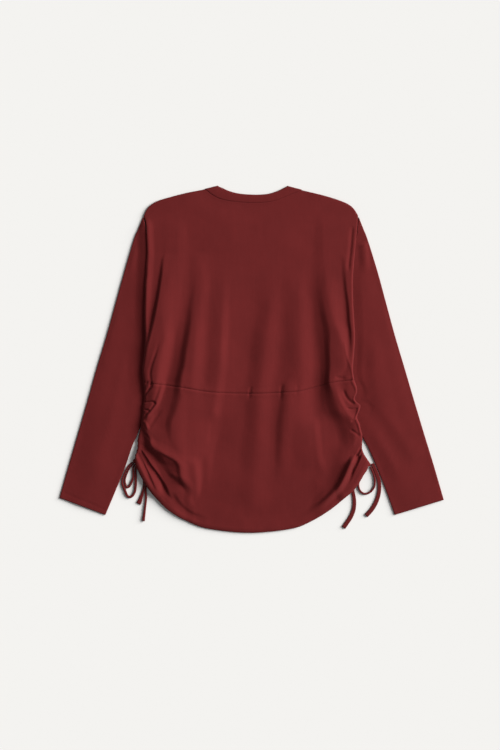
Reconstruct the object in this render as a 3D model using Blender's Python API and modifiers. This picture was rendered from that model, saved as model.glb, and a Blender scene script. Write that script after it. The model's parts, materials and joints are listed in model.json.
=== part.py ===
"""A women's drop-shoulder long-sleeve t-shirt lying flat with its back up.

Every piece that is cut and sewn is one solid: the front, the two halves of the back, the sleeves
and the neckband, with the flat drawcords that gather the side seams and the knots they are tied in.
The lists below are in millimetres as seen from above: x runs from the left sleeve to the right
one, y from the hem towards the neck, and z up from the table. MM turns them into metres.
"""

import math

import bmesh
import bpy
import numpy as np

MM = 0.001

# Cloth and the room that each layer keeps
CLOTH = 1.2                 # thickness of one layer of jersey
GAP = 0.3                   # between pieces that touch at a seam
LEANING_GAP = 0.45          # where the back's edge rolls down against its neighbour
BACK_SEAM_GAP = 0.5         # at the seam that crosses the folds of the back
SEAM_END_NOTCH = 1.0        # more room where that seam meets the rolled sides
SEAM_ROW = 0.012            # share of the side's length taken by the row of faces along that seam
NECK_STATIONS = 12          # columns of the back that meet the neckband
FRONT_STATIONS = 19         # points of the front's neckline, which the neckband shares
SLEEVE_HEIGHT = 3.0         # outside height of a sleeve pressed flat
OVER_FRONT = 1.6            # underside of the back above the table, over the front
OVER_SLEEVE = 3.4           # and over a sleeve
OVER_CORDS = 6.8            # and over the knots and cords at the hem corners
CORD_ZONE = (21.0, 46.0)    # distance from them over which it comes down again
SLEEVE_ZONE = (122.0, 148.0)    # x where the back climbs from the front to the sleeves
SHOULDER_ZONE = (238.0, 280.0)  # y where it comes down again towards the shoulders

SHOULDERS_FROM, SHOULDERS_FLAT = 215.0, 290.0   # y over which the back's volume halves
ROLL = 11.0                 # distance over which an edge rolls down

# Drawcords: soft straps cut from the jersey, rolled up in the loops and flat at the free ends
LOOP_THICK, TAIL_THICK = 3.6, 2.6
CORD_SIDES = 12             # points of a section
CORD_FULLNESS = 0.75        # below 1 squares the section's round ends
CORD_POINT_SPACING = 8.0
ON_TABLE = 0.12             # a cord's height above the table

BURGUNDY = (0.135, 0.019, 0.021)
DARK_BURGUNDY = (0.105, 0.014, 0.016)

# Outline of the back. Each list runs from the neck down or from left to right.
LEFT_SHOULDER = [(-92, 339), (-126, 332.4), (-158, 324.4), (-186, 316), (-200, 308), (-208.6, 298.6),
                 (-214.4, 286)]
RIGHT_SHOULDER = [(101, 337.4), (124, 332), (152, 324.8), (178, 316.4), (194.4, 309), (205.4, 300),
                  (214, 286)]
LEFT_SIDE = [(-214.4, 286), (-211.6, 272), (-209.4, 255), (-208, 235), (-208, 200), (-211, 150),
             (-212.6, 90), (-212, 40), (-214, 0), (-217, -25), (-214, -57)]
RIGHT_SIDE = [(214, 286), (213, 270), (211.4, 250), (209.2, 228), (206.4, 200), (203, 158), (204, 112),
              (206, 76), (209.4, 42), (208.4, 8), (206, -14), (206, -42)]
LEFT_LOWER_SIDE = [(-214, -57), (-214, -82), (-216, -104), (-216, -120), (-214, -130), (-217.6, -143),
                   (-223.4, -160), (-223.6, -176), (-228, -188), (-232.6, -200)]
RIGHT_LOWER_SIDE = [(206, -42), (211, -58), (207, -80), (218, -92), (217, -102), (211, -118),
                    (217, -130), (221, -148), (222, -164), (221.6, -178), (225.6, -190),
                    (237.6, -208.4)]
BACK_SEAM = [(-214, -57), (-197, -50), (-144, -56), (-80, -66), (-2, -69), (61, -67), (102, -63),
             (162, -47), (206, -42)]
BACK_HEM = [(-232.6, -200), (-230, -212), (-225, -224), (-211, -250), (-192, -275.6), (-163, -304),
            (-122, -327), (-82, -339.8), (-2, -347.4), (78, -339.8), (118, -325.6), (158, -301.4),
            (188, -277), (203, -264), (216.6, -246), (230, -222), (237.6, -208.4)]

# Neckline: the opening's edge and the seam of the band, behind and in front
BACK_OPENING = [(-66, 345.4), (-57, 341.6), (-45, 336.2), (-29, 331.6), (-13, 329.4), (3, 328.5),
                (19, 328.6), (35, 330.2), (50, 334.6), (62, 340), (72, 345)]
BACK_NECK_SEAM = [(-92, 339), (-78, 328), (-62, 320), (-38, 315), (-2, 312), (30, 313), (50, 317),
                  (68, 324), (85, 331), (101, 337.4)]
FRONT_OPENING = [(-66, 345.4), (-62, 322), (-46, 296), (-22, 280), (3, 275), (28, 280), (52, 295),
                 (68, 320), (72, 345)]
FRONT_NECK_SEAM = [(-92, 339), (-81, 312), (-60, 282), (-30, 263), (4, 257), (38, 263), (68, 282),
                   (88, 311), (101, 337.4)]

# Sleeves: edges from the cuff up, and the armhole seam from the shoulder down to the underarm
LEFT_OUTER = [(-383, -277.6), (-363.8, -210), (-345, -146), (-326.4, -82), (-308.4, -18), (-289, 46),
              (-271.2, 110), (-253.4, 174), (-234.6, 238), (-226, 259.4), (-216.6, 281.6)]
LEFT_INNER = [(-291, -311.6), (-272.2, -267), (-252.6, -219), (-236.8, -173), (-225, -146),
              (-204, -85), (-186, -20), (-170, 40), (-160, 85)]
LEFT_ARMHOLE = [(-216.6, 281.6), (-213.6, 268), (-210.6, 250), (-203.6, 226), (-192, 190),
                (-174, 140), (-160, 85)]
RIGHT_OUTER = [(385.4, -281.4), (364.6, -210), (345, -146), (325.8, -82), (307, -18), (288, 46),
               (270.6, 110), (253.2, 174), (233.4, 238), (225.2, 259.2), (216.2, 281.4)]
RIGHT_INNER = [(287, -311.6), (271, -267), (254, -224), (234.6, -179), (220, -150), (203, -98),
               (185, -28), (169, 36), (158, 85)]
RIGHT_ARMHOLE = [(216.2, 281.4), (215, 268), (212.8, 250), (204.6, 224), (192, 190), (173, 140),
                 (158, 85)]
SLEEVE_ROWS = 12            # sections of a sleeve
ARMHOLE_STATIONS = 6        # points of the armhole seam, which the front shares
SLEEVE_DOME = 3.0           # soft rise of the upper layer where the body doesn't cover it
DOME_AT_CUFF = 0.35         # share of that rise left at the cuff
DOME_GROWS = (-290.0, -180.0)   # y over which it comes to its full height above the cuff
DOME_ENDS = (150.0, 240.0)      # and over which it flattens out towards the shoulder

# The front's free edges: its sides below the underarm and its hem, inside the back's
FRONT_LEFT_LOWER = [(-204, -85), (-208, -116), (-207, -150), (-211, -178), (-219, -198)]
FRONT_RIGHT_LOWER = [(203, -98), (208, -126), (208, -150), (212, -180), (229, -206)]
FRONT_HEM = [(-219, -198), (-211, -212), (-206, -226), (-200, -242), (-184, -266), (-156, -291),
             (-118, -313), (-78, -326), (-2, -334), (76, -326), (114, -311), (152, -289),
             (176, -272), (194, -256), (206, -238), (217, -221), (229, -206)]

# The back's long folds as lines from the shoulders to the hem, from the left side to the right one.
# A line's rows are x, y and the height of the cloth there above where it would lie flat.
RIDGE_LINES = {
    "left edge": [(-240, 215, 1.6), (-240, 168, 4.4), (-240, 108, 6.6), (-240, 18, 9), (-240, -42, 6.5),
                  (-240, -132, 4), (-240, -162, 0.5), (-240, -262, -1), (-240, -320, 0)],
    "left rim": [(-176, 215, 2.4), (-183.4, 168, 4.8), (-192.4, 108, 6), (-205.4, 48, 7.6),
                 (-217, -12, 7.5), (-219, -82, 5), (-220, -132, 4.4), (-210, -172, 3), (-181, -202, 6.6),
                 (-159, -232, 7), (-133, -262, 5.8), (-123, -300, 2)],
    "left main ridge": [(-158, 215, 3.4), (-165, 168, 9), (-177, 108, 13), (-178, 48, 13.6),
                        (-186, -12, 13.4), (-188, -72, 12.8), (-206, -132, 10), (-188, -172, 13.6),
                        (-160, -202, 15.5), (-138, -232, 14.2), (-122, -252, 10.8), (-107, -300, 3)],
    "left main trough": [(-130, 215, 3.6), (-132, 168, 7), (-136, 108, 6.8), (-146, 48, 5.4),
                         (-153, -12, 5), (-160, -42, 5), (-172, -82, 8), (-184, -132, 9.8),
                         (-170, -172, 13.5), (-148, -212, 15.3), (-130, -232, 13.6),
                         (-116, -256, 10), (-105, -300, 3)],
    "left inner ridge": [(-104, 215, 4.1), (-103, 168, 8.3), (-110, 108, 11.2), (-117, 48, 14.2),
                         (-126, -12, 15.8), (-134, -72, 16), (-138, -132, 14.4), (-136, -172, 14.8),
                         (-126, -212, 14.8), (-119, -232, 13), (-110, -256, 9.4), (-100, -300, 2.9)],
    "left inner trough": [(-84, 215, 4.6), (-80, 168, 7.4), (-82, 108, 8.6), (-86, 48, 9),
                          (-88, -12, 9.2), (-90, -72, 10.4), (-88, -132, 10.2), (-91, -182, 9.2),
                          (-92, -222, 6.6), (-92, -256, 4.4), (-90, -300, 2.3)],
    "shoulder blade fold": [(-55, 215, 5.4), (-57, 168, 7.6), (-57, 108, 9.4), (-60, 48, 10.4),
                            (-64, -12, 10.6), (-72, -72, 10.8), (-77, -132, 10.6), (-83, -182, 9),
                            (-86, -222, 6.2), (-87, -256, 4.2), (-85, -300, 2.2)],
    "shoulder blade foot": [(-40, 215, 5.6), (-40, 168, 7), (-40, 108, 6.8), (-42, 48, 5.8),
                            (-44, -12, 5.6), (-52, -72, 6), (-56, -132, 5.6), (-70, -182, 5.4),
                            (-76, -222, 5), (-78, -256, 3.8), (-76, -300, 2.2)],
    "middle hollow left": [(-6, 215, 5.6), (-4, 168, 5.8), (9, 108, 4.4), (-2, 48, 3.2), (-7, -12, 2.8),
                           (-15, -72, 3.8), (-18, -132, 3.8), (-24, -182, 3.5), (-30, -242, 3.2),
                           (-32, -300, 2.2)],
    "middle ridge": [(36, 215, 5.4), (36, 168, 5.8), (39, 108, 6.6), (30, 48, 7.2), (24, -12, 7),
                     (17, -72, 7.6), (14, -132, 7.8), (12, -182, 7.1), (7, -242, 5.6), (5, -320, 2.4)],
    "middle hollow right": [(62, 215, 5.2), (63, 168, 5.2), (64, 108, 4.8), (61, 48, 3.8), (57, -12, 3),
                            (46, -72, 4.2), (43, -132, 4.8), (42, -182, 4.7), (42, -242, 4.2),
                            (42, -320, 2.2)],
    "right inner ridge": [(95, 215, 4.6), (94, 168, 5.6), (96, 108, 6.4), (95, 48, 7.2), (98, -12, 6.8),
                          (102, -72, 8.2), (108, -132, 9.2), (120, -182, 8.4), (128, -232, 6.8),
                          (112, -282, 4), (104, -310, 2.2)],
    "right main trough": [(125, 215, 4.4), (123, 168, 4.7), (123, 108, 3.5), (132, 48, 1.6),
                          (137, -12, 1), (142, -72, 2), (160, -132, 4), (160, -172, 6),
                          (158, -222, 5.4), (126, -282, 3.2), (114, -310, 2)],
    "right main ridge": [(146, 215, 4.3), (146, 168, 6), (152, 108, 8.8), (163, 48, 10.6),
                         (162, -12, 11), (168, -72, 12.5), (198, -132, 12.2), (198, -172, 9.6),
                         (178, -222, 6.4), (135, -282, 3.1), (123, -310, 2)],
    "right rim trough": [(176, 215, 3.4), (181, 168, 5), (189, 108, 4.4), (195.5, 48, 5),
                         (188, -12, 11.4), (185, -72, 9.2), (210, -132, 11.8), (210, -172, 10),
                         (190, -232, 6), (138, -300, 2)],
    "right rim": [(186, 215, 3), (190, 168, 7), (196, 108, 7.8), (202, 48, 8), (197, -12, 11.6),
                  (204, -82, 10), (216, -132, 11), (218, -172, 9.6), (202, -232, 5.4), (144, -300, 2)],
    "right edge": [(245, 215, 2.4), (245, 168, 6), (245, 108, 6.8), (245, 18, 8), (245, -42, 9),
                   (245, -112, 8), (245, -172, 7), (245, -232, 4.4), (245, -320, 2)],
}
# Short folds that cross the long ones. height is a fold's rise, negative for a trough; west and
# east are its reach to either side of the route, which runs downwards; fade_in and fade_out are
# the stretches over which it starts and ends.
FOLDS = [
    # name, height, west, east, fade_in, fade_out, route
    ("left corner groove", -5.0, 17, 9, 12, 24, [(-222, -180), (-213.5, -193), (-200.5, -213),
                                                 (-185.5, -233), (-173.5, -253), (-166, -270),
                                                 (-155, -284), (-141, -294), (-126, -306)]),
    ("right hem groove", -5.5, 12, 10, 8, 50, [(196, -194), (187, -209), (179, -226), (168, -245),
                                               (151, -264), (133, -281), (111, -299), (90, -311)]),
    ("right hem ridge", 4.0, 9, 12, 10, 40, [(208, -196), (194, -214), (184, -236), (174, -253),
                                             (155, -275), (132, -295), (106, -311)]),
    ("right corner groove", -3.5, 9, 9, 10, 20, [(217, -190), (206, -212), (198.5, -232),
                                                 (191, -250), (186, -262)]),
]

# Drawcords. A route's rows are x, y and the strap's width there.
KNOT_SIZE = (11.4, 10.6)
KNOTS = {
    # name: x, y, height
    "knot_left": (-231.0, -204.0, 6.4),
    "knot_right": (233.8, -210.6, 6.4),
}
CORDS_UNDER_HEM = [[(-231, -204), (-210, -250)], [(233.8, -210.6), (204, -260)]]
CORDS = {
    "cord_left_outer_loop": (LOOP_THICK, [
        (-236.6, -206.6, 2.4), (-239.6, -208.8, 3.0), (-243.6, -212.8, 3.3), (-248.4, -219.6, 3.3),
        (-252.0, -227.1, 3.3), (-255.0, -234.8, 3.5), (-257.2, -241.7, 3.8), (-257.6, -248.0, 4.2),
        (-255.8, -254.5, 4.6), (-252.8, -261.0, 5.0), (-250.3, -267.8, 5.2), (-247.0, -273.9, 5.0),
        (-242.8, -276.2, 4.6), (-238.0, -274.2, 4.8), (-234.1, -269.0, 5.0), (-231.9, -263.0, 5.2),
        (-231.0, -255.5, 5.2), (-230.6, -247.8, 5.0), (-230.5, -240.2, 4.6), (-230.4, -232.5, 4.5),
        (-230.8, -224.8, 4.2), (-230.2, -217.6, 4.0), (-229.4, -213.4, 3.2), (-228.4, -209.4, 2.4)]),
    "cord_left_inner_loop": (LOOP_THICK, [
        (-234.2, -208.6, 2.4), (-237.2, -211.4, 2.9), (-241.2, -216.2, 3.2), (-245.4, -222.6, 3.3),
        (-248.6, -229.6, 3.4), (-251.2, -237.0, 3.6), (-252.4, -244.4, 4.0), (-251.0, -251.6, 4.4),
        (-248.2, -256.6, 4.6), (-243.8, -254.8, 4.6), (-240.4, -249.6, 4.6), (-237.8, -243.4, 4.4),
        (-235.6, -236.8, 4.0), (-235.3, -230.2, 3.9), (-235.7, -223.4, 3.9), (-235.4, -217.2, 3.6),
        (-233.6, -213.0, 3.0), (-231.4, -209.8, 2.4)]),
    "cord_left_tail_1": (TAIL_THICK, [
        (-226.0, -207.4, 2.4), (-221.0, -216.6, 3.2), (-216.8, -229.0, 3.4), (-214.9, -241.0, 3.4),
        (-214.5, -250.0, 3.4), (-215.0, -257.0, 3.6), (-216.0, -263.4, 4.4), (-217.8, -270.9, 6.0),
        (-220.3, -278.6, 7.4), (-222.7, -284.8, 8.8), (-224.9, -289.4, 9.6)]),
    "cord_left_tail_2": (LOOP_THICK, [
        (-224.6, -204.4, 2.4), (-216.8, -213.2, 3.2), (-212.0, -226.0, 3.6), (-209.7, -240.0, 3.8),
        (-209.9, -249.0, 3.9), (-210.5, -257.0, 4.2), (-210.7, -265.0, 4.5), (-209.8, -274.6, 4.5),
        (-210.3, -283.0, 4.5), (-211.5, -294.0, 4.5), (-212.5, -301.7, 4.7), (-213.3, -309.4, 5.0),
        (-214.6, -317.1, 5.8), (-214.9, -324.0, 5.4)]),
    "cord_right_loop": (LOOP_THICK, [
        (237.8, -214.8, 2.4), (239.8, -218.6, 3.2), (242.5, -224.2, 3.7), (245.2, -231.3, 3.9),
        (246.9, -239.7, 4.0), (247.4, -248.0, 4.0), (246.0, -255.5, 4.0), (241.7, -262.6, 4.0),
        (235.4, -267.6, 4.0), (228.3, -269.5, 4.0), (221.7, -267.3, 4.0), (217.1, -262.2, 4.0),
        (214.8, -255.5, 4.0), (214.5, -249.4, 4.0), (217.0, -241.5, 3.6), (221.8, -234.0, 3.4),
        (227.0, -227.0, 3.2), (231.0, -220.8, 2.8), (232.6, -216.4, 2.4)]),
    "cord_right_tail_1": (TAIL_THICK, [
        (242.4, -209.0, 6.6), (244.9, -214.6, 7.0), (248.3, -222.2, 7.3), (251.3, -229.7, 7.5),
        (253.8, -236.9, 7.6), (255.5, -244.0, 7.7), (256.4, -251.5, 7.7), (256.5, -259.0, 7.7),
        (255.7, -267.0, 7.8), (254.2, -274.0, 8.0), (251.6, -282.0, 8.2), (248.2, -289.7, 8.4),
        (243.0, -298.6, 8.4), (236.8, -306.3, 8.4), (229.8, -313.4, 8.4)]),
    "cord_right_tail_2": (TAIL_THICK, [
        (229.5, -214.8, 2.4), (224.2, -221.2, 3.0), (218.4, -228.4, 3.4), (212.6, -236.0, 3.6),
        (207.8, -244.6, 3.8), (204.6, -254.0, 4.6), (204.0, -262.0, 5.6), (204.8, -268.8, 6.4),
        (205.9, -277.2, 7.2), (206.6, -285.5, 7.5), (206.2, -293.8, 7.7), (204.8, -302.2, 8.0),
        (201.8, -310.5, 8.2), (197.5, -318.8, 8.4), (191.9, -327.2, 8.4), (184.8, -337.3, 8.4)]),
}


def smooth_line(points, count):
    """Points evenly spaced along a Catmull-Rom curve through the given ones."""
    points = np.array(points, float)
    before, after = 2 * points[0] - points[1], 2 * points[-1] - points[-2]
    knots = np.vstack([before, points, after])
    t = np.linspace(0, 1, 24, endpoint=False)[:, None]
    dense = []
    for a, b, c, d in zip(knots, knots[1:], knots[2:], knots[3:]):
        dense.append(0.5 * (2 * b + (c - a) * t + (2 * a - 5 * b + 4 * c - d) * t ** 2
                            + (3 * b - a - 3 * c + d) * t ** 3))
    dense = np.vstack(dense + [points[-1:]])
    steps = np.linalg.norm(np.diff(dense[:, :2], axis=0), axis=1)
    travelled = np.concatenate([[0], np.cumsum(steps)])
    stops = np.linspace(0, travelled[-1], count)
    return np.stack([np.interp(stops, travelled, column) for column in dense.T], axis=1)


def at_stops(points, stops):
    """The smooth line through points, read at shares of its length."""
    line = smooth_line(points, 400)
    places = np.array(stops) * (len(line) - 1)
    return np.stack([np.interp(places, np.arange(len(line)), column) for column in line.T], axis=1)


def smoothstep(value, low, high):
    share = np.clip((value - low) / (high - low), 0, 1)
    return share * share * (3 - 2 * share)


def nearest(x, y, line):
    """Distance to a line of points, the index of its nearest point, and the side (1 is east)."""
    dx = x[..., None] - line[:, 0]
    dy = y[..., None] - line[:, 1]
    index = np.argmin(dx ** 2 + dy ** 2, axis=-1)
    gap_x = np.take_along_axis(dx, index[..., None], -1)[..., 0]
    gap_y = np.take_along_axis(dy, index[..., None], -1)[..., 0]
    heading = np.gradient(line[:, :2], axis=0)[index]
    side = np.sign(heading[..., 0] * gap_y - heading[..., 1] * gap_x)
    return np.hypot(gap_x, gap_y), index, side


def fold_rise(x, y):
    """Sum of the folds at each place of the back."""
    rise = np.zeros_like(x)
    for _, height, west, east, fade_in, fade_out, route in FOLDS:
        line = smooth_line(route, 60)
        length = np.linalg.norm(np.diff(line, axis=0), axis=1).sum()
        distance, index, side = nearest(x, y, line)
        along = index / (len(line) - 1) * length
        strength = smoothstep(along, 0, fade_in) * (1 - smoothstep(along, length - fade_out, length))
        reach = np.where(side > 0, east, west)
        shape = np.where(distance < reach, 0.5 + 0.5 * np.cos(np.pi * distance / reach), 0)
        rise += height * strength * shape
    return rise


def through(x, xs, ys):
    """A smooth curve through points in order of xs that never swings past them, read at x."""
    width, rise = np.diff(xs, axis=-1), np.diff(ys, axis=-1)
    rate = rise / width
    before, after = rate[..., :-1], rate[..., 1:]
    turning = before * after <= 0
    inner = np.where(turning, 0, 2 * before * after / np.where(turning, 1, before + after))
    none = np.zeros(inner.shape[:-1] + (1,))
    slopes = np.concatenate([none, inner, none], axis=-1)
    index = np.clip((x[..., None] > xs).sum(axis=-1) - 1, 0, xs.shape[-1] - 2)[..., None]

    def pick(values, step=0):
        values = np.broadcast_to(values, x.shape + values.shape[-1:])
        return np.take_along_axis(values, index + step, axis=-1)[..., 0]

    wide = pick(width)
    t = np.clip((x - pick(xs)) / wide, 0, 1)
    return ((2 * t ** 3 - 3 * t ** 2 + 1) * pick(ys) + (t ** 3 - 2 * t ** 2 + t) * wide * pick(slopes)
            + (3 * t ** 2 - 2 * t ** 3) * pick(ys, 1) + (t ** 3 - t ** 2) * wide * pick(slopes, 1))


def ridges_lift(x, y):
    """Height of the cloth over its flat place, between the long folds' crests and troughs."""
    places, heights = [], []
    for line in RIDGE_LINES.values():
        rows = np.array(line[::-1], float)
        place = through(y, rows[:, 1], rows[:, 0])
        if places:
            place = np.maximum(place, places[-1] + 2)
        places.append(place)
        heights.append(through(y, rows[:, 1], rows[:, 2]))
    return through(x, np.stack(places, axis=-1), np.stack(heights, axis=-1))


def clearance(x, y):
    """The least height of the back's underside: over the front, the sleeves and the cords."""
    over_sleeve = smoothstep(np.abs(x), *SLEEVE_ZONE) * (1 - smoothstep(y, *SHOULDER_ZONE))
    least = OVER_FRONT + (OVER_SLEEVE - OVER_FRONT) * over_sleeve
    for stretch in CORDS_UNDER_HEM:
        distance, _, _ = nearest(x, y, smooth_line(stretch, 30))
        near = 1 - smoothstep(distance, *CORD_ZONE)
        least = np.maximum(least, OVER_FRONT + (OVER_CORDS - OVER_FRONT) * near)
    return least


def edge_roll(x, y):
    """0 at the back's edge, rising over a quarter round to 1."""
    edges = [LEFT_SHOULDER, RIGHT_SHOULDER, BACK_NECK_SEAM, LEFT_SIDE, RIGHT_SIDE, LEFT_LOWER_SIDE,
             RIGHT_LOWER_SIDE, BACK_HEM]
    inside = np.min([nearest(x, y, smooth_line(edge, 120))[0] for edge in edges], axis=0)
    share = np.clip(inside / ROLL, 0, 1)
    return np.sqrt(1 - (1 - share) ** 2)


def back_underside(x, y):
    """Height of the back's underside: its clearance and its folds, rolled down at the edges."""
    lift = ridges_lift(x, y) * (1 - 0.5 * smoothstep(y, SHOULDERS_FROM, SHOULDERS_FLAT))
    lift = lift + fold_rise(x, y)
    soft = 0.5 * (lift + np.sqrt(lift ** 2 + 1))
    return clearance(x, y) + soft * edge_roll(x, y)


def patch(top, bottom, left, right, across):
    """Coons patch between four edges: a row for each point of left and right, a column for each stop."""
    across = np.array(across)[None, :, None]
    down = (left[:, 1] + right[:, 1]) / 2
    down = ((down[0] - down) / (down[0] - down[-1]))[:, None, None]
    top, bottom = top[None], bottom[None]
    left, right = left[:, None], right[:, None]
    corners = ((1 - down) * ((1 - across) * left[:1] + across * right[:1])
               + down * ((1 - across) * left[-1:] + across * right[-1:]))
    return (1 - down) * top + down * bottom + (1 - across) * left + across * right - corners


def new_object(name, bm, material):
    mesh = bpy.data.meshes.new(name)
    bm.to_mesh(mesh)
    bm.free()
    mesh.shade_smooth()
    obj = bpy.data.objects.new(name, mesh)
    obj.data.materials.append(material)
    COLLECTION.objects.link(obj)
    return obj


def solidify(obj, thickness, offset):
    shell = obj.modifiers.new("cloth", "SOLIDIFY")
    shell.thickness = thickness * MM
    shell.offset = offset


def cloth_panel(name, grid, material):
    """A panel from a grid of points on its underside, thickened upwards."""
    rows, columns = grid.shape[:2]
    bm = bmesh.new()
    bmesh.ops.create_grid(bm, x_segments=columns - 1, y_segments=rows - 1, size=0.5)
    for vertex in bm.verts:
        column = round((vertex.co.x + 0.5) * (columns - 1))
        row = round((0.5 - vertex.co.y) * (rows - 1))
        vertex.co = grid[row, column] * MM
    obj = new_object(name, bm, material)
    solidify(obj, CLOTH, 1)
    return obj


def cloth_tube(name, rings, material, offset, closed_along=False):
    """A loft through closed or open sections, each a list of points, thickened by the cloth."""
    bm = bmesh.new()
    grid = [[bm.verts.new(point * MM) for point in ring] for ring in rings]
    rows = grid + grid[:1] if closed_along else grid
    for ring, following in zip(rows, rows[1:]):
        wrapped = list(zip(ring, following))
        if not closed_along:
            wrapped = wrapped + wrapped[:1]
        for (a, b), (d, c) in zip(wrapped, wrapped[1:]):
            bm.faces.new((a, d, c, b))
    bmesh.ops.recalc_face_normals(bm, faces=bm.faces)
    obj = new_object(name, bm, material)
    solidify(obj, CLOTH, offset)
    return obj


def panel_columns():
    """Shares of the back's width: close together over the gathered sides, wider under the neck."""
    sides = [0.0, 0.009, 0.024, 0.046, 0.071, 0.097, 0.124, 0.152, 0.180, 0.208, 0.237]
    start, end = LEFT_SHOULDER[-1][0], RIGHT_SHOULDER[-1][0]
    neck = [(x - start) / (end - start) for x in (BACK_NECK_SEAM[0][0], BACK_NECK_SEAM[-1][0])]
    return sides + list(np.linspace(*neck, NECK_STATIONS)) + [1 - stop for stop in reversed(sides)]


def shoulders_and_neck():
    """The back's top edge from armhole to armhole, read at its columns."""
    whole = np.vstack([smooth_line(LEFT_SHOULDER[::-1], 80), smooth_line(BACK_NECK_SEAM, 80)[1:-1],
                       smooth_line(RIGHT_SHOULDER, 80)])
    x = whole[0, 0] + (whole[-1, 0] - whole[0, 0]) * np.array(panel_columns())
    return np.stack([x, np.interp(x, whole[:, 0], whole[:, 1])], axis=1)


def with_height(plan):
    x, y = plan[..., 0], plan[..., 1]
    return np.stack([x, y, back_underside(x, y)], axis=-1)


def back_upper(material):
    columns = panel_columns()
    top = shoulders_and_neck() - (0, LEANING_GAP)
    bottom = at_stops(BACK_SEAM, columns) + (0, BACK_SEAM_GAP / 2)
    rows = [*np.linspace(0, 1 - SEAM_ROW, 14), 1]
    left, right = at_stops(LEFT_SIDE, rows), at_stops(RIGHT_SIDE, rows)
    for side in (left, right):
        side[-1] += (0, SEAM_END_NOTCH)
    top[0], top[-1], bottom[0], bottom[-1] = left[0], right[0], left[-1], right[-1]
    return cloth_panel("back_upper", with_height(patch(top, bottom, left, right, columns)), material)


def back_lower(material):
    columns = panel_columns()
    top = at_stops(BACK_SEAM, columns) - (0, BACK_SEAM_GAP / 2)
    bottom = at_stops(BACK_HEM, columns)
    rows = [0, *np.linspace(SEAM_ROW, 1, 17)]
    left = at_stops(LEFT_LOWER_SIDE, rows)
    right = at_stops(RIGHT_LOWER_SIDE, rows)
    left[0], right[0] = top[0], top[-1]
    return cloth_panel("back_lower", with_height(patch(top, bottom, left, right, columns)), material)


def sleeve_rise(plan, outer, inner, sides):
    """Rise of a sleeve's upper layer, between its outer fold and the body or its inner fold."""
    x, y = np.abs(plan[:, 0]), plan[:, 1]

    def across(line):
        line = np.array(sorted(line, key=lambda point: point[1]), float)
        return np.interp(y, line[:, 1], np.abs(line[:, 0]))

    outside, covered = across(outer), np.maximum(across(inner), across(sides))
    share = np.clip((x - covered) / (outside - covered + 0.01), 0, 1)
    settled = DOME_AT_CUFF + (1 - DOME_AT_CUFF) * smoothstep(y, *DOME_GROWS)
    return SLEEVE_DOME * settled * (1 - smoothstep(y, *DOME_ENDS)) * np.sin(np.pi * share) ** 2


def sleeve(name, outer, inner, armhole, sides, material):
    """A tube pressed flat, from the cuff to the armhole seam, under the body's side."""
    half = SLEEVE_HEIGHT / 2
    outer_line, inner_line = smooth_line(outer, SLEEVE_ROWS), smooth_line(inner, SLEEVE_ROWS)
    shares = np.linspace(0, 1, ARMHOLE_STATIONS)
    seam = at_stops(armhole, shares) + (math.copysign(GAP, armhole[0][0]), 0)
    straight = outer_line[-1] + (inner_line[-1] - outer_line[-1]) * shares[:, None]
    rings = []
    for row, (a, b) in enumerate(zip(outer_line, inner_line)):
        width = np.linalg.norm(b - a)
        across = (b - a) / width
        bend = (seam - straight) * smoothstep(row / (SLEEVE_ROWS - 1), 0.6, 1.0)
        plan = a + across * (half + shares[:, None] * (width - 2 * half)) + bend
        rise = sleeve_rise(plan, outer, inner, sides)
        under = [(x, y, 0.0) for x, y in plan]
        over = [(x, y, SLEEVE_HEIGHT + z) for (x, y), z in zip(plan, rise)]
        rings.append(np.array(under + half_round(plan[-1], across, half, -90)
                              + over[::-1] + half_round(plan[0], -across, half, 90)))
    return cloth_tube(name, rings, material, -1)


def half_round(centre, outward, radius, start):
    """Points of the folded edge between the two layers, from its start angle to the other side."""
    points = []
    for share in (0.25, 0.5, 0.75):
        angle = math.radians(start * (1 - 2 * share))
        x, y = centre + outward * radius * math.cos(angle)
        points.append((x, y, radius + radius * math.sin(angle)))
    return points


def front_body(material):
    """One flat layer on the table, from the shoulders round the neckline and armholes to the hem."""
    left_arm = smooth_line(LEFT_ARMHOLE, ARMHOLE_STATIONS) + (2 * GAP, 0)
    right_arm = smooth_line(RIGHT_ARMHOLE, ARMHOLE_STATIONS) - (2 * GAP, 0)
    left_under = smooth_line(LEFT_INNER[:4:-1], 8) + (2 * GAP, 0)
    right_under = smooth_line(RIGHT_INNER[:4:-1], 8) + (-2 * GAP, 0)
    left_shoulder, right_shoulder = smooth_line(LEFT_SHOULDER, 10), smooth_line(RIGHT_SHOULDER, 10)
    left_shoulder[0] -= (2 * GAP, GAP)
    right_shoulder[0] += (2 * GAP, -GAP)
    pieces = [
        left_shoulder, left_arm[1:], left_under[1:-1],
        smooth_line(FRONT_LEFT_LOWER, 7), smooth_line(FRONT_HEM, 34)[1:-1],
        smooth_line(FRONT_RIGHT_LOWER[::-1], 7), right_under[-2:0:-1], right_arm[:0:-1],
        right_shoulder[::-1],
        smooth_line(FRONT_NECK_SEAM[::-1], FRONT_STATIONS)[1:-1] - (0, 2 * GAP),
    ]
    outline = np.vstack(pieces)
    curve = bpy.data.curves.new("front_body", "CURVE")
    curve.dimensions, curve.fill_mode = "2D", "BOTH"
    curve.extrude = CLOTH / 2 * MM
    spline = curve.splines.new("POLY")
    spline.points.add(len(outline) - 1)
    for point, (x, y) in zip(spline.points, outline):
        point.co = (x * MM, y * MM, 0, 1)
    spline.use_cyclic_u = True
    obj = bpy.data.objects.new("front_body", curve)
    obj.location.z = CLOTH / 2 * MM
    obj.data.materials.append(material)
    COLLECTION.objects.link(obj)
    return obj


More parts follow.
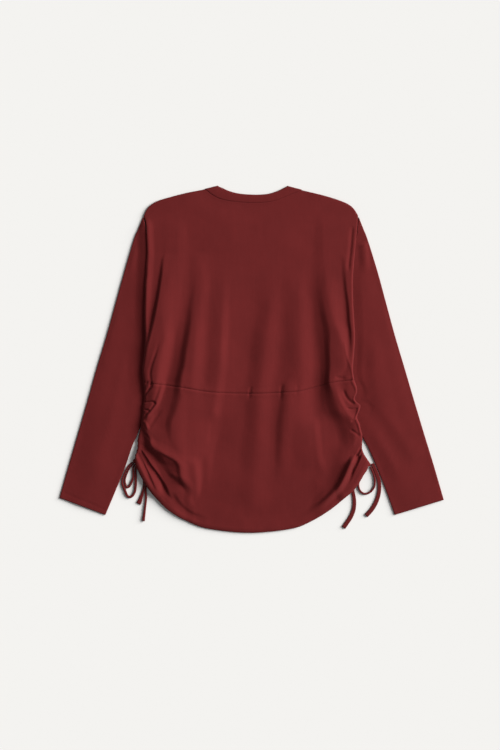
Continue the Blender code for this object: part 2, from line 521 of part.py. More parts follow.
def neckband(material):
    """A flat ring: its back half lies on top, its front half below, folded at the shoulders."""
    upper, lower = OVER_FRONT + CLOTH / 2, CLOTH / 2
    middle, turn = (upper + lower) / 2, (upper - lower) / 2
    sections = []

    def add(opening, seam, height, push=0.0):
        for a, b in zip(opening, seam):
            sections.append(np.array([(*(a + (b - a) * share + (0, push)), height)
                                      for share in (0, 0.5, 1)]))

    back_edge = smooth_line(BACK_OPENING, NECK_STATIONS)
    seam_start = (len(panel_columns()) - NECK_STATIONS) // 2
    back_seam = shoulders_and_neck()[seam_start:seam_start + NECK_STATIONS]
    front_edge = smooth_line(FRONT_OPENING, FRONT_STATIONS)
    front_seam = smooth_line(FRONT_NECK_SEAM, FRONT_STATIONS)
    add(back_edge, back_seam, upper)
    add(back_edge[-1:], back_seam[-1:], middle, turn)
    add(front_edge[::-1], front_seam[::-1], lower)
    add(back_edge[:1], back_seam[:1], middle, turn)
    return cloth_tube("neckband", sections, material, 0, closed_along=True)


def knot(name, x, y, height, material):
    """The pulled-tight knot of a bow, a squashed ball under the hem's corner."""
    bm = bmesh.new()
    bmesh.ops.create_uvsphere(bm, u_segments=12, v_segments=8, radius=0.5)
    for vertex in bm.verts:
        vertex.co.x *= KNOT_SIZE[0] * MM
        vertex.co.y *= KNOT_SIZE[1] * MM
        vertex.co.z *= height * MM
    obj = new_object(name, bm, material)
    obj.location = (x * MM, y * MM, (height / 2 + ON_TABLE) * MM)
    return obj


def cord(name, thickness, route, material):
    """A soft strap along a smooth curve through its route, resting on the table all the way."""
    length = np.linalg.norm(np.diff(np.array(route)[:, :2], axis=0), axis=1).sum()
    line = smooth_line(route, max(6, round(length / CORD_POINT_SPACING)))
    heading = np.gradient(line[:, :2], axis=0)
    heading /= np.linalg.norm(heading, axis=1)[:, None]
    angles = (np.arange(CORD_SIDES) + 0.5) * 2 * math.pi / CORD_SIDES
    side, rise = [np.sign(turn) * np.abs(turn) ** CORD_FULLNESS
                  for turn in (np.cos(angles), np.sin(angles))]
    side, rise = side / side.max(), rise / rise.max()
    bm = bmesh.new()
    rings = []
    for (x, y, width), (along_x, along_y) in zip(line, heading):
        half_width, half_height = width / 2, min(thickness, width) / 2
        rings.append([bm.verts.new(((x + along_y * half_width * across) * MM,
                                    (y - along_x * half_width * across) * MM,
                                    (ON_TABLE + half_height * (1 + up)) * MM))
                      for across, up in zip(side, rise)])
    for ring, following in zip(rings, rings[1:]):
        for corners in zip(ring, ring[1:] + ring[:1], following[1:] + following[:1], following):
            bm.faces.new(corners)
    bm.faces.new(rings[0])
    bm.faces.new(rings[-1])
    bmesh.ops.recalc_face_normals(bm, faces=bm.faces)
    return new_object(name, bm, material)


def jersey(name, colour, roughness):
    material = bpy.data.materials.new(name)
    material.use_nodes = True
    shader = material.node_tree.nodes["Principled BSDF"]
    shader.inputs["Base Color"].default_value = (*colour, 1)
    shader.inputs["Roughness"].default_value = roughness
    shader.inputs["Metallic"].default_value = 0.0
    return material


for old in list(bpy.data.objects):
    bpy.data.objects.remove(old, do_unlink=True)
COLLECTION = bpy.data.collections.new("long_sleeve_t_shirt")
bpy.context.scene.collection.children.link(COLLECTION)

CLOTH_MATERIAL = jersey("burgundy_jersey", BURGUNDY, 0.85)
BAND_MATERIAL = jersey("neckband_jersey", BURGUNDY, 0.8)
CORD_MATERIAL = jersey("drawcord_jersey", DARK_BURGUNDY, 0.85)

front_body(CLOTH_MATERIAL)
back_upper(CLOTH_MATERIAL)
back_lower(CLOTH_MATERIAL)
sleeve("sleeve_left", LEFT_OUTER, LEFT_INNER, LEFT_ARMHOLE, LEFT_SIDE + LEFT_LOWER_SIDE, CLOTH_MATERIAL)
sleeve("sleeve_right", RIGHT_OUTER, RIGHT_INNER, RIGHT_ARMHOLE, RIGHT_SIDE + RIGHT_LOWER_SIDE,
       CLOTH_MATERIAL)
neckband(BAND_MATERIAL)
for knot_name, knot_shape in KNOTS.items():
    knot(knot_name, *knot_shape, CORD_MATERIAL)
for cord_name, (cord_thickness, cord_route) in CORDS.items():
    cord(cord_name, cord_thickness, cord_route, CORD_MATERIAL)
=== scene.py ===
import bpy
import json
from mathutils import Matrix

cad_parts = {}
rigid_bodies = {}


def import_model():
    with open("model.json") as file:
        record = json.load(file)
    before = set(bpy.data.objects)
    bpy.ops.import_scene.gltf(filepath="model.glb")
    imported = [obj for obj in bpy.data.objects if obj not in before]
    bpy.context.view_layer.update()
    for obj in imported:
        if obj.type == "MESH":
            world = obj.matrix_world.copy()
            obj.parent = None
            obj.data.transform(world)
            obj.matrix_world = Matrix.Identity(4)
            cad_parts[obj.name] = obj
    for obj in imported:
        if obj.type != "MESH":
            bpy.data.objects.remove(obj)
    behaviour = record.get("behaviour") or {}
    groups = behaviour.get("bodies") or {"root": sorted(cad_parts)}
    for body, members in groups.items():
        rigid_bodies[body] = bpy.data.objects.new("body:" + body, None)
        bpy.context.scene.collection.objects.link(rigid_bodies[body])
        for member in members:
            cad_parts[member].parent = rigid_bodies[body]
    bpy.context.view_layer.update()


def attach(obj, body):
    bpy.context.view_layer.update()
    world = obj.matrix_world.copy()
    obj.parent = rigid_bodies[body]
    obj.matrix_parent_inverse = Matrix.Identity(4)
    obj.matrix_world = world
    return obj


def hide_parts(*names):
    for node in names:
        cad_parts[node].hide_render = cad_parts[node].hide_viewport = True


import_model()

"""The looks of a women's long-sleeve t-shirt in burgundy jersey, laid flat with its back up.

Every piece of cloth is a thin shell on the form of its solid, with creases that the tables below
list one by one. Their numbers are millimetres as seen from above: x runs from the left sleeve to
the right one, y from the hem to the neck and z up from the table. MM turns them into metres.
"""

import json
import math

import bmesh
import bpy
import numpy as np
from mathutils import Vector

MM = 0.001

# ---- camera, light and floor
VIEW_CENTRE = (-0.002, -0.032)      # where the camera looks straight down, in metres
VIEW_HEIGHT = 1.5                   # what the view's long side covers on the table
CAMERA_DISTANCE = 3.0
SENSOR = 36.0                       # the sensor's long side in mm
LIGHT_FROM = (1.0, 0.38)            # the soft key light's direction in plan
LIGHT_ELEVATION = 29.0              # in degrees above the table
LIGHT_DISTANCE = 4.2                # in metres from LIGHT_AIM
LIGHT_SIZE = (3.5, 2.8)             # wide enough for long, soft shadow edges
LIGHT_AIM = (0.05, 0.02, 0.0)
LIGHT_COLOUR = (1.0, 0.99, 0.975)
LIGHT_SPREAD_KEY = 54.0             # in degrees: its grid keeps the light towards the middle
LIGHT_SPREAD = 42.0                 # how wide the floor's own lamp looks, in degrees
KEY_POWER = 62.5                    # watts, over the cloth: it falls off towards the lower left
FLOOR_KEY = 5.45                    # the same light on the floor, even all over
SKY_COLOUR = (0.97, 0.985, 1.0, 1)
SKY_STRENGTH = 0.22
FLOOR_REACH = 5.0                   # half the floor's side in metres
FLOOR_TOP = -0.0003                 # just under the cloth, also in metres

# ---- sizes of the cloth and cords
CLOTH = 1.2                         # thickness of a layer
SLEEVE_CLOTH = 1.1
SLEEVE_HEIGHT = 3.0                 # a sleeve pressed flat
SLEEVE_LENGTH, SLEEVE_WIDTH = 560.0, 160.0      # roughly, for what runs along its edges
UNDERSIDE = 0.05                    # height of a sleeve's lower layer over the table
BAND_CROWN = 0.4                    # how much the neckband stands up along its middle
OVER_FRONT = 1.6                    # heights of the back's underside over the front,
OVER_SLEEVE = 3.4                   # over a sleeve
OVER_CORDS = 6.8                    # and over a cord
SLEEVE_ZONE = (122.0, 148.0)        # distances from the middle between which it climbs a sleeve
SHOULDER_ZONE = (255.0, 296.0)      # y between which it leaves the sleeve again
CORD_ZONE = (21.0, 46.0)            # distances from a cord between which it comes down from it
SHOULDERS = (215.0, 290.0)          # y between which the long folds fade to half
NECK_FLAT, NECK_SOFT = 45.0, 28.0   # distances from the neck seam within which folds fade out
LEFT_ROLL, RIGHT_ROLL = 5.0, 3.0    # width of the back's rounding at its left and right side,
SHOULDER_ROLL = 2.4                 # its shoulders,
SEAM_ROLL = 1.6                     # its neck seam
HEM_ROLL = 10.0                     # and its hem
EDGE_RISE = 3.6                     # how much the left sleeve lifts the body's left side
EDGE_RISE_REACH = (21.0, 16.0)      # how far to the west and east of that side
EDGE_RISE_STARTS, EDGE_RISE_ENDS = (-60.0, 150.0), (262.0, 286.0)       # and between which y
LOOP_THICK, TAIL_THICK = 3.6, 2.6   # the drawcord where it is rolled up and where it is flat
ON_TABLE = 0.12                     # height of a cord's or knot's lowest point
CORD_STEP = 2.0                     # between a cord's cross-sections
STRAP_SIDES = 24                    # points round each of them
HEM_DEPTH = 11.0                    # from the edge to the first row of hem stitches
NEEDLE_GAP = 3.0                    # between the two rows
STITCHES = HEM_DEPTH + NEEDLE_GAP / 2
ROUTE_STEP = 2.5                    # between the places at which a fold's route is read
LEAST_GAP = 2.0                     # between two long folds, where their lines come together
WALE, COURSE = 0.95, 0.80           # between the knit's columns and between its rows

# ---- irregular waves of the cloth: height, size and seed
BACK_WAVES = [(0.35, 38, 2), (0.12, 13, 3)]
SLEEVE_WAVES = [(0.30, 44, 8), (0.10, 14, 9)]

# ---- colours, as linear values
BURGUNDY = (0.127, 0.0128, 0.0130)
FLOOR_WHITE = (0.86, 0.855, 0.84)

# ---- outlines
LEFT_SHOULDER = [
    (-92, 339), (-126, 332.4), (-158, 324.4), (-186, 316), (-200, 308), (-208.6, 298.6), (-214.4, 286)]
RIGHT_SHOULDER = [
    (101, 337.4), (124, 332), (152, 324.8), (178, 316.4), (194.4, 309), (205.4, 300), (214, 286)]
LEFT_SIDE = [
    (-214.4, 286), (-210.6, 276), (-208.8, 264), (-208.4, 248), (-207.4, 228), (-207, 208), (-208.4, 188),
    (-209.2, 168), (-211, 148), (-212.6, 90), (-212, 40), (-213, 12), (-216, -10), (-217.5, -25),
    (-216, -40), (-214, -57)]
RIGHT_SIDE = [
    (214, 286), (213.2, 276), (212.4, 264), (210.8, 248), (209, 228), (207.2, 208), (205.4, 188),
    (203.8, 168), (203.2, 148), (204, 112), (206, 76), (207.6, 42), (205.4, 8), (203.6, -14), (203.8, -28),
    (206, -42)]
LEFT_LOWER_SIDE = [
    (-214, -57), (-213.5, -72), (-214, -84), (-216.5, -95), (-216, -106), (-218.5, -118), (-219.4, -130),
    (-222, -143), (-226, -160), (-226, -176), (-229, -188), (-232.6, -200)]
RIGHT_LOWER_SIDE = [
    (206, -42), (211, -56), (211, -68), (207, -79), (211, -86), (218, -92), (217, -102), (212, -116),
    (217, -130), (219, -140), (222, -150), (222, -164), (221.6, -178), (225.6, -190), (237.6, -208.4)]
BACK_SEAM = [
    (-214, -57), (-197, -50), (-144, -56), (-80, -66), (-2, -69), (61, -67), (102, -63), (162, -47),
    (206, -42)]
BACK_HEM = [
    (-232.6, -200), (-230, -212), (-225, -224), (-211, -250), (-192, -275.6), (-163, -304), (-122, -327),
    (-82, -339.8), (-2, -347.4), (78, -339.8), (118, -325.6), (158, -301.4), (188, -277), (203, -264),
    (216.6, -246), (230, -222), (237.6, -208.4)]
BACK_OPENING = [
    (-66, 345.4), (-57, 341.6), (-45, 336.2), (-29, 331.6), (-13, 329.4), (3, 328.5), (19, 328.6),
    (35, 330.2), (50, 334.6), (62, 340), (72, 345)]
BACK_NECK_SEAM = [
    (-92, 339), (-78, 328), (-62, 320), (-38, 315), (-2, 312), (30, 313), (50, 317), (68, 324), (85, 331),
    (101, 337.4)]
FRONT_OPENING = [
    (-66, 345.4), (-62, 322), (-46, 296), (-22, 280), (3, 275), (28, 280), (52, 295), (68, 320), (72, 345)]
FRONT_NECK_SEAM = [
    (-92, 339), (-81, 312), (-60, 282), (-30, 263), (4, 257), (38, 263), (68, 282), (88, 311), (101, 337.4)]
LEFT_OUTER = [
    (-383, -277.6), (-363.8, -210), (-345, -146), (-326.4, -82), (-308.4, -18), (-289, 46), (-271.2, 110),
    (-253.4, 174), (-234.6, 238), (-225.4, 260.4), (-215.8, 283.6)]
LEFT_INNER = [
    (-291, -311.6), (-272.2, -267), (-252.6, -219), (-236.8, -173), (-225, -146), (-204, -85), (-186, -20),
    (-170, 40), (-160, 85)]
LEFT_ARMHOLE = [
    (-215.8, 283.6), (-211.6, 268), (-209.2, 250), (-203, 226), (-192, 190), (-174, 140), (-160, 85)]
RIGHT_OUTER = [
    (385.4, -281.4), (364.6, -210), (345, -146), (325.8, -82), (307, -18), (288, 46), (270.6, 110),
    (253.2, 174), (233.4, 238), (224.6, 260.4), (215.6, 283.4)]
RIGHT_INNER = [
    (287, -311.6), (271, -267), (254, -224), (234.6, -179), (220, -150), (203, -98), (185, -28), (169, 36),
    (158, 85)]
RIGHT_ARMHOLE = [(215.6, 283.4), (213.6, 268), (211.6, 250), (204, 224), (192, 190), (173, 140), (158, 85)]
FRONT_LEFT_LOWER = [(-204, -85), (-208, -116), (-207, -150), (-211, -178), (-219, -198)]
FRONT_RIGHT_LOWER = [(203, -98), (208, -126), (208, -150), (212, -180), (229, -206)]
FRONT_HEM = [
    (-219, -198), (-211, -212), (-206, -226), (-200, -242), (-184, -266), (-156, -291), (-118, -313),
    (-78, -326), (-2, -334), (76, -326), (114, -311), (152, -289), (176, -272), (194, -256), (206, -238),
    (217, -221), (229, -206)]

# ---- folds of the back
# The back's long folds as lines from the shoulders to the hem, from the left side to the right one.
# A line's rows are x, y and the height of the cloth there above where it would lie flat.
RIDGE_LINES = {
    "left edge": [
        (-240, 215, 2.4), (-240, 168, 4.2), (-240, 108, 6.6), (-240, 48, 7.6), (-240, 18, 9),
        (-240, -42, 6.5), (-240, -82, 5), (-240, -132, 4), (-240, -162, 3), (-240, -182, 5),
        (-240, -262, 5), (-240, -320, 0)],
    "left rim": [
        (-176, 215, 3.1), (-180, 198, 3.8), (-183.4, 168, 4.6), (-187.4, 138, 5.6), (-192.4, 108, 6),
        (-198.6, 78, 6.6), (-205.4, 48, 7.6), (-212, 18, 9), (-217, -12, 7.5), (-218, -42, 6.5),
        (-219, -82, 5), (-220, -132, 4.4), (-217, -152, 3), (-210, -172, 3), (-210, -182, 2.4),
        (-197, -192, 3.2), (-189, -202, 3.8), (-182, -212, 4.8), (-175, -222, 5.6), (-166, -232, 6.8),
        (-154, -242, 6.8), (-139, -252, 6.4), (-133, -262, 6.6), (-135, -282, 4), (-130, -300, 2)],
    "left shoulder": [
        (-168, 215, 3.4), (-173, 198, 5.4), (-176, 168, 9), (-180.6, 138, 11), (-185.6, 108, 12.6),
        (-191.6, 78, 13.4), (-198.4, 48, 13.4), (-205, 18, 11.4), (-207, -12, 9.9), (-208, -42, 9.8),
        (-207, -82, 8.2), (-208, -102, 8.6), (-213, -132, 8.5), (-203, -152, 11), (-196, -172, 13),
        (-188, -182, 13), (-176, -192, 14.4), (-171, -202, 12), (-164, -212, 10), (-158, -222, 11),
        (-149, -232, 13.6), (-133, -242, 12.6), (-124, -252, 10.8), (-119, -262, 9), (-124, -282, 5.4),
        (-122, -300, 3)],
    "left main ridge": [
        (-158, 215, 3.4), (-162, 198, 5.2), (-165, 168, 9), (-172, 138, 11.4), (-177, 108, 13),
        (-178, 78, 13.6), (-174, 48, 13.6), (-180, 18, 13.6), (-186, -12, 13.4), (-189, -42, 12.9),
        (-193, -72, 11.8), (-196, -92, 10.9), (-204, -112, 10.7), (-208, -132, 10.6), (-196, -152, 11.6),
        (-188, -172, 13.6), (-178, -182, 14.6), (-166, -192, 15.4), (-141, -212, 15.2), (-138, -232, 14.2),
        (-122, -252, 10.8), (-121, -282, 5.2), (-120, -300, 3)],
    "left main trough": [
        (-130, 215, 3.6), (-130, 198, 4.8), (-132, 168, 7), (-133, 138, 7.2), (-136, 108, 6.8),
        (-141, 78, 6), (-148, 48, 5.2), (-153, 18, 4.8), (-158, -12, 4.6), (-166, -42, 4.6),
        (-175, -72, 6.6), (-180, -92, 7.8), (-192, -112, 8.7), (-190, -132, 10), (-183, -152, 12.6),
        (-176, -172, 14.6), (-168, -182, 14.4), (-156, -192, 15.3), (-136, -212, 15.4), (-132, -232, 13.8),
        (-118, -252, 10.6), (-119, -282, 5), (-118, -300, 3)],
    "left trough foot": [
        (-118, 215, 3.8), (-120, 198, 5), (-121, 168, 7.2), (-122, 138, 7.6), (-127, 108, 7.6),
        (-131, 78, 7), (-136, 48, 6.4), (-141, 18, 6.2), (-145, -12, 6.4), (-152, -42, 6.6),
        (-158, -72, 8.8), (-165, -102, 10.2), (-172, -132, 11.6), (-168, -152, 13.8), (-160, -172, 15.2),
        (-148, -192, 15.2), (-131, -212, 15.3), (-127, -232, 13.4), (-115, -256, 9.8), (-117, -290, 3.4)],
    "left inner lip": [
        (-109, 215, 4), (-110, 198, 5.6), (-108, 168, 8.2), (-109, 138, 9.6), (-114, 108, 11),
        (-117, 78, 12.4), (-121, 48, 14), (-126, 18, 15), (-130, -12, 15.6), (-137, -42, 15.8),
        (-137, -72, 16.2), (-146, -102, 16.2), (-156, -132, 16.2), (-156, -152, 15.8), (-148, -172, 15.8),
        (-138, -192, 15.8), (-126, -212, 15), (-122, -232, 13.2), (-113, -256, 9.4), (-115, -290, 3.2)],
    "left inner ridge": [
        (-99, 215, 4.2), (-102, 198, 5.8), (-98, 168, 8.4), (-99, 138, 10), (-105, 108, 11.4),
        (-109, 78, 12.8), (-112, 48, 14.4), (-116, 18, 15.4), (-119, -12, 16), (-122, -42, 16.4),
        (-123, -72, 15.6), (-121, -102, 14.6), (-120, -132, 13.6), (-120, -172, 13.2), (-119, -192, 13),
        (-113, -212, 13.6), (-111, -232, 12.2), (-109, -256, 9.2), (-113, -290, 3)],
    "left inner trough": [
        (-84, 215, 4.6), (-82, 198, 5.6), (-80, 168, 7.4), (-80, 138, 8.2), (-82, 108, 8.6), (-84, 78, 8.8),
        (-86, 48, 9), (-87, 18, 9.2), (-88, -12, 9.2), (-90, -42, 9.6), (-90, -72, 11.2), (-88, -102, 11.2),
        (-88, -132, 8.8), (-90, -162, 8.2), (-91, -182, 7.4), (-95, -202, 7.4), (-96, -222, 6.2),
        (-96, -240, 5.4), (-98, -256, 4.4), (-105, -290, 2.8)],
    "shoulder blade fold": [
        (-55, 215, 5.4), (-55, 198, 6), (-57, 168, 7.6), (-56, 138, 8.8), (-57, 108, 9.4), (-59, 78, 10),
        (-60, 48, 10.4), (-62, 18, 10.6), (-64, -12, 10.6), (-68, -42, 10.6), (-72, -72, 10.8),
        (-76, -102, 10.8), (-77, -132, 6.4), (-80, -162, 5.8), (-83, -182, 5.8), (-86, -202, 6.8),
        (-86, -222, 5.7), (-87, -240, 5.4), (-87, -256, 4.2), (-92, -290, 2.6)],
    "shoulder blade foot": [
        (-40, 215, 5.6), (-40, 198, 6), (-40, 168, 7), (-39, 138, 7.2), (-40, 108, 6.8), (-41, 78, 6.4),
        (-42, 48, 5.8), (-44, 18, 5.6), (-44, -12, 5.6), (-48, -42, 5.6), (-52, -72, 6), (-56, -102, 5.8),
        (-56, -132, 3.8), (-64, -162, 3.4), (-70, -182, 3.6), (-74, -202, 4.7), (-76, -222, 4.5),
        (-78, -240, 4.6), (-78, -256, 3.8), (-80, -290, 2.4)],
    "middle hollow left": [
        (-6, 215, 5.6), (-4, 168, 5.8), (4, 138, 5.4), (9, 108, 4.4), (6, 78, 3.8), (-2, 48, 3.2),
        (-6, 18, 2.8), (-7, -12, 2.8), (-11, -42, 3), (-15, -72, 3.8), (-17, -102, 4), (-18, -132, 3.8),
        (-22, -162, 3.6), (-26, -202, 3.4), (-30, -242, 4.8), (-32, -290, 3.4)],
    "middle ridge": [
        (36, 215, 5.4), (36, 168, 5.8), (38, 138, 6), (39, 108, 6.6), (36, 78, 7), (30, 48, 7.2),
        (26, 18, 7.2), (24, -12, 7), (20, -42, 7), (17, -72, 7.6), (15, -102, 8), (14, -132, 7.8),
        (13, -162, 7.4), (10, -202, 6.8), (7, -242, 7), (6, -282, 5.8), (5, -320, 2.2)],
    "middle hollow right": [
        (62, 215, 5.2), (63, 168, 5.2), (63, 138, 5), (64, 108, 4.8), (63, 78, 4.4), (61, 48, 3.8),
        (59, 18, 3.2), (57, -12, 3), (50, -42, 3.4), (46, -72, 4.2), (44, -102, 4.8), (43, -132, 4.8),
        (42, -162, 4.8), (42, -202, 4.6), (42, -242, 5.6), (42, -282, 4.8), (42, -320, 2)],
    "right inner ridge": [
        (95, 215, 4.6), (94, 168, 5.6), (95, 138, 6), (96, 108, 6.4), (96, 78, 7), (95, 48, 7.2),
        (96, 18, 7), (98, -12, 6.8), (97, -42, 7.2), (92, -72, 8.2), (86, -102, 8.8), (86, -132, 9.2),
        (88, -162, 8.8), (94, -182, 8.4), (102, -202, 7.8), (114, -232, 6.8), (130, -252, 6),
        (112, -282, 4), (104, -310, 2.2)],
    "right main trough": [
        (123, 215, 4.4), (120, 168, 4.6), (117, 138, 4), (122, 108, 3.4), (126, 78, 2.7), (131, 48, 1.6),
        (134, 18, 1.2), (137, -12, 1), (138, -42, 0.8), (137, -72, 0.8), (139, -102, 1.5), (152, -132, 3.2),
        (156, -162, 5.2), (156, -182, 6.2), (156, -202, 6), (158, -222, 5.4), (150, -252, 4.4),
        (126, -282, 3.2), (114, -310, 2)],
    "right trough foot": [
        (132, 215, 4.4), (129, 168, 4.8), (129, 138, 4.8), (133, 108, 4.3), (138, 78, 3.7), (143, 48, 3),
        (145.6, 18, 3.1), (146.6, -12, 3.2), (146, -42, 3.2), (144, -72, 2.4), (151.5, -102, 3.4),
        (166, -132, 3.8), (172, -162, 5.2), (170, -182, 7), (166, -202, 6.4), (164, -222, 5.6),
        (153, -252, 4.4), (129, -282, 3.2), (117, -310, 2)],
    "right main lip": [
        (142, 215, 4.4), (143, 168, 5.4), (144, 138, 7), (148, 108, 8.2), (154, 78, 9.4), (159, 48, 9.8),
        (158, 18, 10), (159, -12, 10.4), (157, -42, 11.8), (166, -72, 12.2), (178, -102, 12.2),
        (190, -132, 9.8), (195, -162, 10), (188, -182, 8.8), (180, -202, 7.8), (172, -222, 6.2),
        (156, -252, 4.4), (132, -282, 3.2), (120, -310, 2)],
    "right main ridge": [
        (150, 215, 4.2), (150, 168, 5.9), (153, 138, 8), (157, 108, 9.4), (163, 78, 10.2), (174, 48, 11.2),
        (182, 18, 11.6), (185, -12, 12.2), (164, -42, 12.2), (172, -72, 12.8), (186, -102, 12.4),
        (208, -132, 13.4), (207, -162, 11.8), (196, -182, 9.4), (188, -202, 8.2), (178, -222, 6.4),
        (159, -252, 4.4), (135, -282, 3.1), (123, -310, 2)],
    "right rim trough": [
        (176, 215, 3.4), (178, 198, 4), (181, 168, 5), (185, 138, 4.6), (189, 108, 4.4), (191.5, 78, 4.2),
        (195.5, 48, 5), (196, 18, 7.8), (192, -12, 11.6), (180, -42, 11), (182, -62, 10.4), (186, -82, 9.8),
        (200, -108, 10.4), (213, -132, 13.1), (215, -152, 11.4), (210, -172, 10), (203, -202, 8.6),
        (190, -232, 6), (170, -262, 3.8), (138, -300, 2)],
    "right rim": [
        (186, 215, 3), (189, 198, 5), (190, 168, 7), (192, 138, 7.4), (196, 108, 7.8), (198, 78, 8),
        (201, 48, 8), (202, 18, 8.6), (199, -12, 12), (194, -42, 12), (200, -82, 10), (207, -108, 9),
        (218, -132, 12), (220, -152, 10), (218, -172, 9.6), (212, -202, 8), (202, -232, 5.4),
        (180, -262, 3.2), (144, -300, 2)],
    "right edge": [
        (245, 215, 2.4), (245, 168, 6), (245, 108, 6.8), (245, 18, 8), (245, -42, 9), (245, -112, 8),
        (245, -172, 7), (245, -232, 4.4), (245, -320, 2)],
}
# The route of the fold above the right half of the hem
RIGHT_HEM_FOLD = [
    (207.6, -190), (194.6, -213), (186.2, -233), (175.6, -253), (157.6, -273), (137.6, -291),
    (114.6, -306), (92.6, -316)]
# Short folds that cross the long ones. height is a fold's rise, negative for a trough; west and
# east are its reach to either side of the route, which runs downwards; fade_in and fade_out are
# the stretches over which it starts and ends.
FOLDS = [
    # name, height, west, east, fade_in, fade_out, route
    ("right shoulder slit", -1.7, 8, 3, 14, 16, [
        (204, 268), (201.8, 247), (200.2, 227), (198, 207), (196, 187), (195, 171)]),
    ("right low swell", 2.6, 44, 16, 30, 30, [
        (122, -110), (125, -140), (128, -170), (133, -204), (142, -230)]),
    ("right of middle crease", 2.2, 16, 24, 26, 70, [
        (76, -36), (71, -72), (68, -102), (64, -132), (62, -172), (60, -250)]),
    ("left corner groove", -5.6, 16, 3.8, 12, 36, [
        (-222, -180), (-213.5, -193), (-200.5, -213), (-185.5, -233), (-173.5, -253), (-166, -270),
        (-158, -284)]),
    ("left corner crease", -3, 9, 3.5, 4, 60, [
        (-225, -186), (-213, -213), (-203.2, -233), (-194.5, -253), (-187, -276)]),
    ("left bulge edge", 3.2, 5, 20, 16, 40, [
        (-214, -162), (-202, -174), (-172, -189), (-152, -200), (-143, -212), (-140, -232), (-133, -252),
        (-120, -272)]),
    ("left low crease", -2.3, 16, 8, 20, 44, [
        (-160, -264), (-149, -284), (-134, -301), (-114, -313), (-84, -322)]),
    ("right hem ridge", 7.6, 8, 12, 20, 110, RIGHT_HEM_FOLD),
    ("right hem swell", 2.4, 36, 14, 30, 60, RIGHT_HEM_FOLD[:-1]),
    ("right pleat 1", -1.4, 3.5, 3, 8, 24, [(212, -186), (204, -206), (197, -226), (186, -246)]),
    ("right pleat 2", -1.2, 3, 3, 6, 16, [(221, -184), (213, -204), (206, -224)]),
    ("right corner groove", -4.6, 5.5, 6, 8, 36, [(217, -190), (206, -212), (198.5, -232), (191, -252)]),
    ("right corner crease", -2.2, 4, 4, 8, 14, [(221, -172), (214, -186), (206, -200)]),
]

# Gathers: short creases that run in from the drawn-up sides
GATHERS = [
    # name, height, west, east, fade_in, fade_out, route
    ("left thin crease", -1.5, 6, 4, 40, 12, [
        (-182, 40), (-188, 16), (-196, -8), (-200.6, -28), (-199, -48), (-201, -58)]),
    ("left hook 1", -1.6, 2.4, 2.4, 3, 5, [(-195, -48), (-199, -58), (-206, -64)]),
    ("left hook 2", -1.4, 2.4, 2.4, 3, 4, [(-206, -44), (-209, -50), (-214, -53)]),
    ("left seam nip", -2.2, 3, 3, 2, 6, [(-216, -46), (-208, -47), (-201, -44)]),
    ("left nip 1", -2.4, 3.5, 3, 4, 6, [(-197, -44), (-201, -56), (-207, -66), (-213, -74)]),
    ("left nip 2", -2.8, 3, 3.5, 2, 5, [(-216, -86), (-206, -86), (-198, -85), (-189, -88)]),
    ("left nip 3", -3.2, 4, 4, 4, 5, [(-189, -86), (-197, -97), (-204, -106), (-213, -114)]),
    ("left nip 4", -2.2, 3, 3, 2, 4, [(-214, -101), (-206, -102), (-201, -106)]),
    ("left gather ridge", 2.8, 7, 7, 24, 10, [
        (-172, -40), (-180, -66), (-188, -88), (-199, -103), (-212, -118)]),
    ("left gather fold", -1.2, 7, 7, 20, 20, [(-176, -96), (-190, -116), (-200, -132), (-206, -146)]),
    ("left bulge", 1.4, 5, 5, 3, 6, [(-216, -122), (-209, -130), (-204, -142)]),
    ("left hem nip", -1.4, 3, 3, 6, 8, [(-217, -142), (-208, -152), (-200, -163)]),
    ("right seam nip", -1.6, 5, 5, 8, 8, [(166, -36), (178, -38), (190, -38)]),
    ("right nip 1", -1.9, 5, 5, 12, 6, [(182, -58), (190, -76), (199, -86), (208, -90)]),
    ("right nip 2", -1.8, 3, 3, 4, 4, [(190, -98), (202, -100), (214, -98)]),
    ("right nip 3", -2.2, 3.5, 3.5, 3, 4, [(214, -116), (206, -122), (198, -124)]),
    ("right long crease", 0.9, 4, 4, 20, 12, [(184, 44), (190, 8), (200, -22), (206, -50)]),
    ("right rim ridge", 1.0, 3.5, 3.5, 10, 6, [
        (200, -22), (205, -34), (201, -44), (208, -58), (210, -70), (205, -80), (212, -90)]),
    ("right low ridge", 1.6, 4, 4, 6, 6, [
        (214, -96), (212, -108), (208, -118), (213, -130), (217, -144), (221, -156)]),
    ("right nip 4", -1.8, 3.5, 4, 6, 6, [(196, -140), (206, -146), (216, -154)]),
    ("seam tuck left", -2.2, 3, 2.6, 5, 14, [(0, -54), (-2, -66), (-5, -84)]),
    ("seam tuck right", -2.0, 3.4, 2.6, 5, 12, [(62, -50), (61, -62), (59, -84)]),
    ("seam tuck far right", -0.8, 3, 2.4, 6, 6, [(94, -50), (92, -62), (91, -74)]),
    ("seam tuck far left", -0.9, 3, 2.6, 6, 6, [(-134, -48), (-135, -57), (-137, -68)]),
]

# The sleeves' soft rise: its height and the width of its inner flank beside the body and then below
# it, and the share of the sleeve's width where its outer flank starts
SLEEVE_DOMES = {
    "sleeve_left": (0.7, 40, 3.2, 60, 0.50),
    "sleeve_right": (3.3, 20, 2.6, 40, 0.42),
}
BESIDE_BODY = (-130.0, -40.0)       # y between which a sleeve comes to lie beside the body
HEAD_FLATTENS = (120.0, 225.0)      # y between which it flattens towards its head
CUFF_FLATTENS = (0.0, 0.2)          # share of its length over which it rises from the cuff
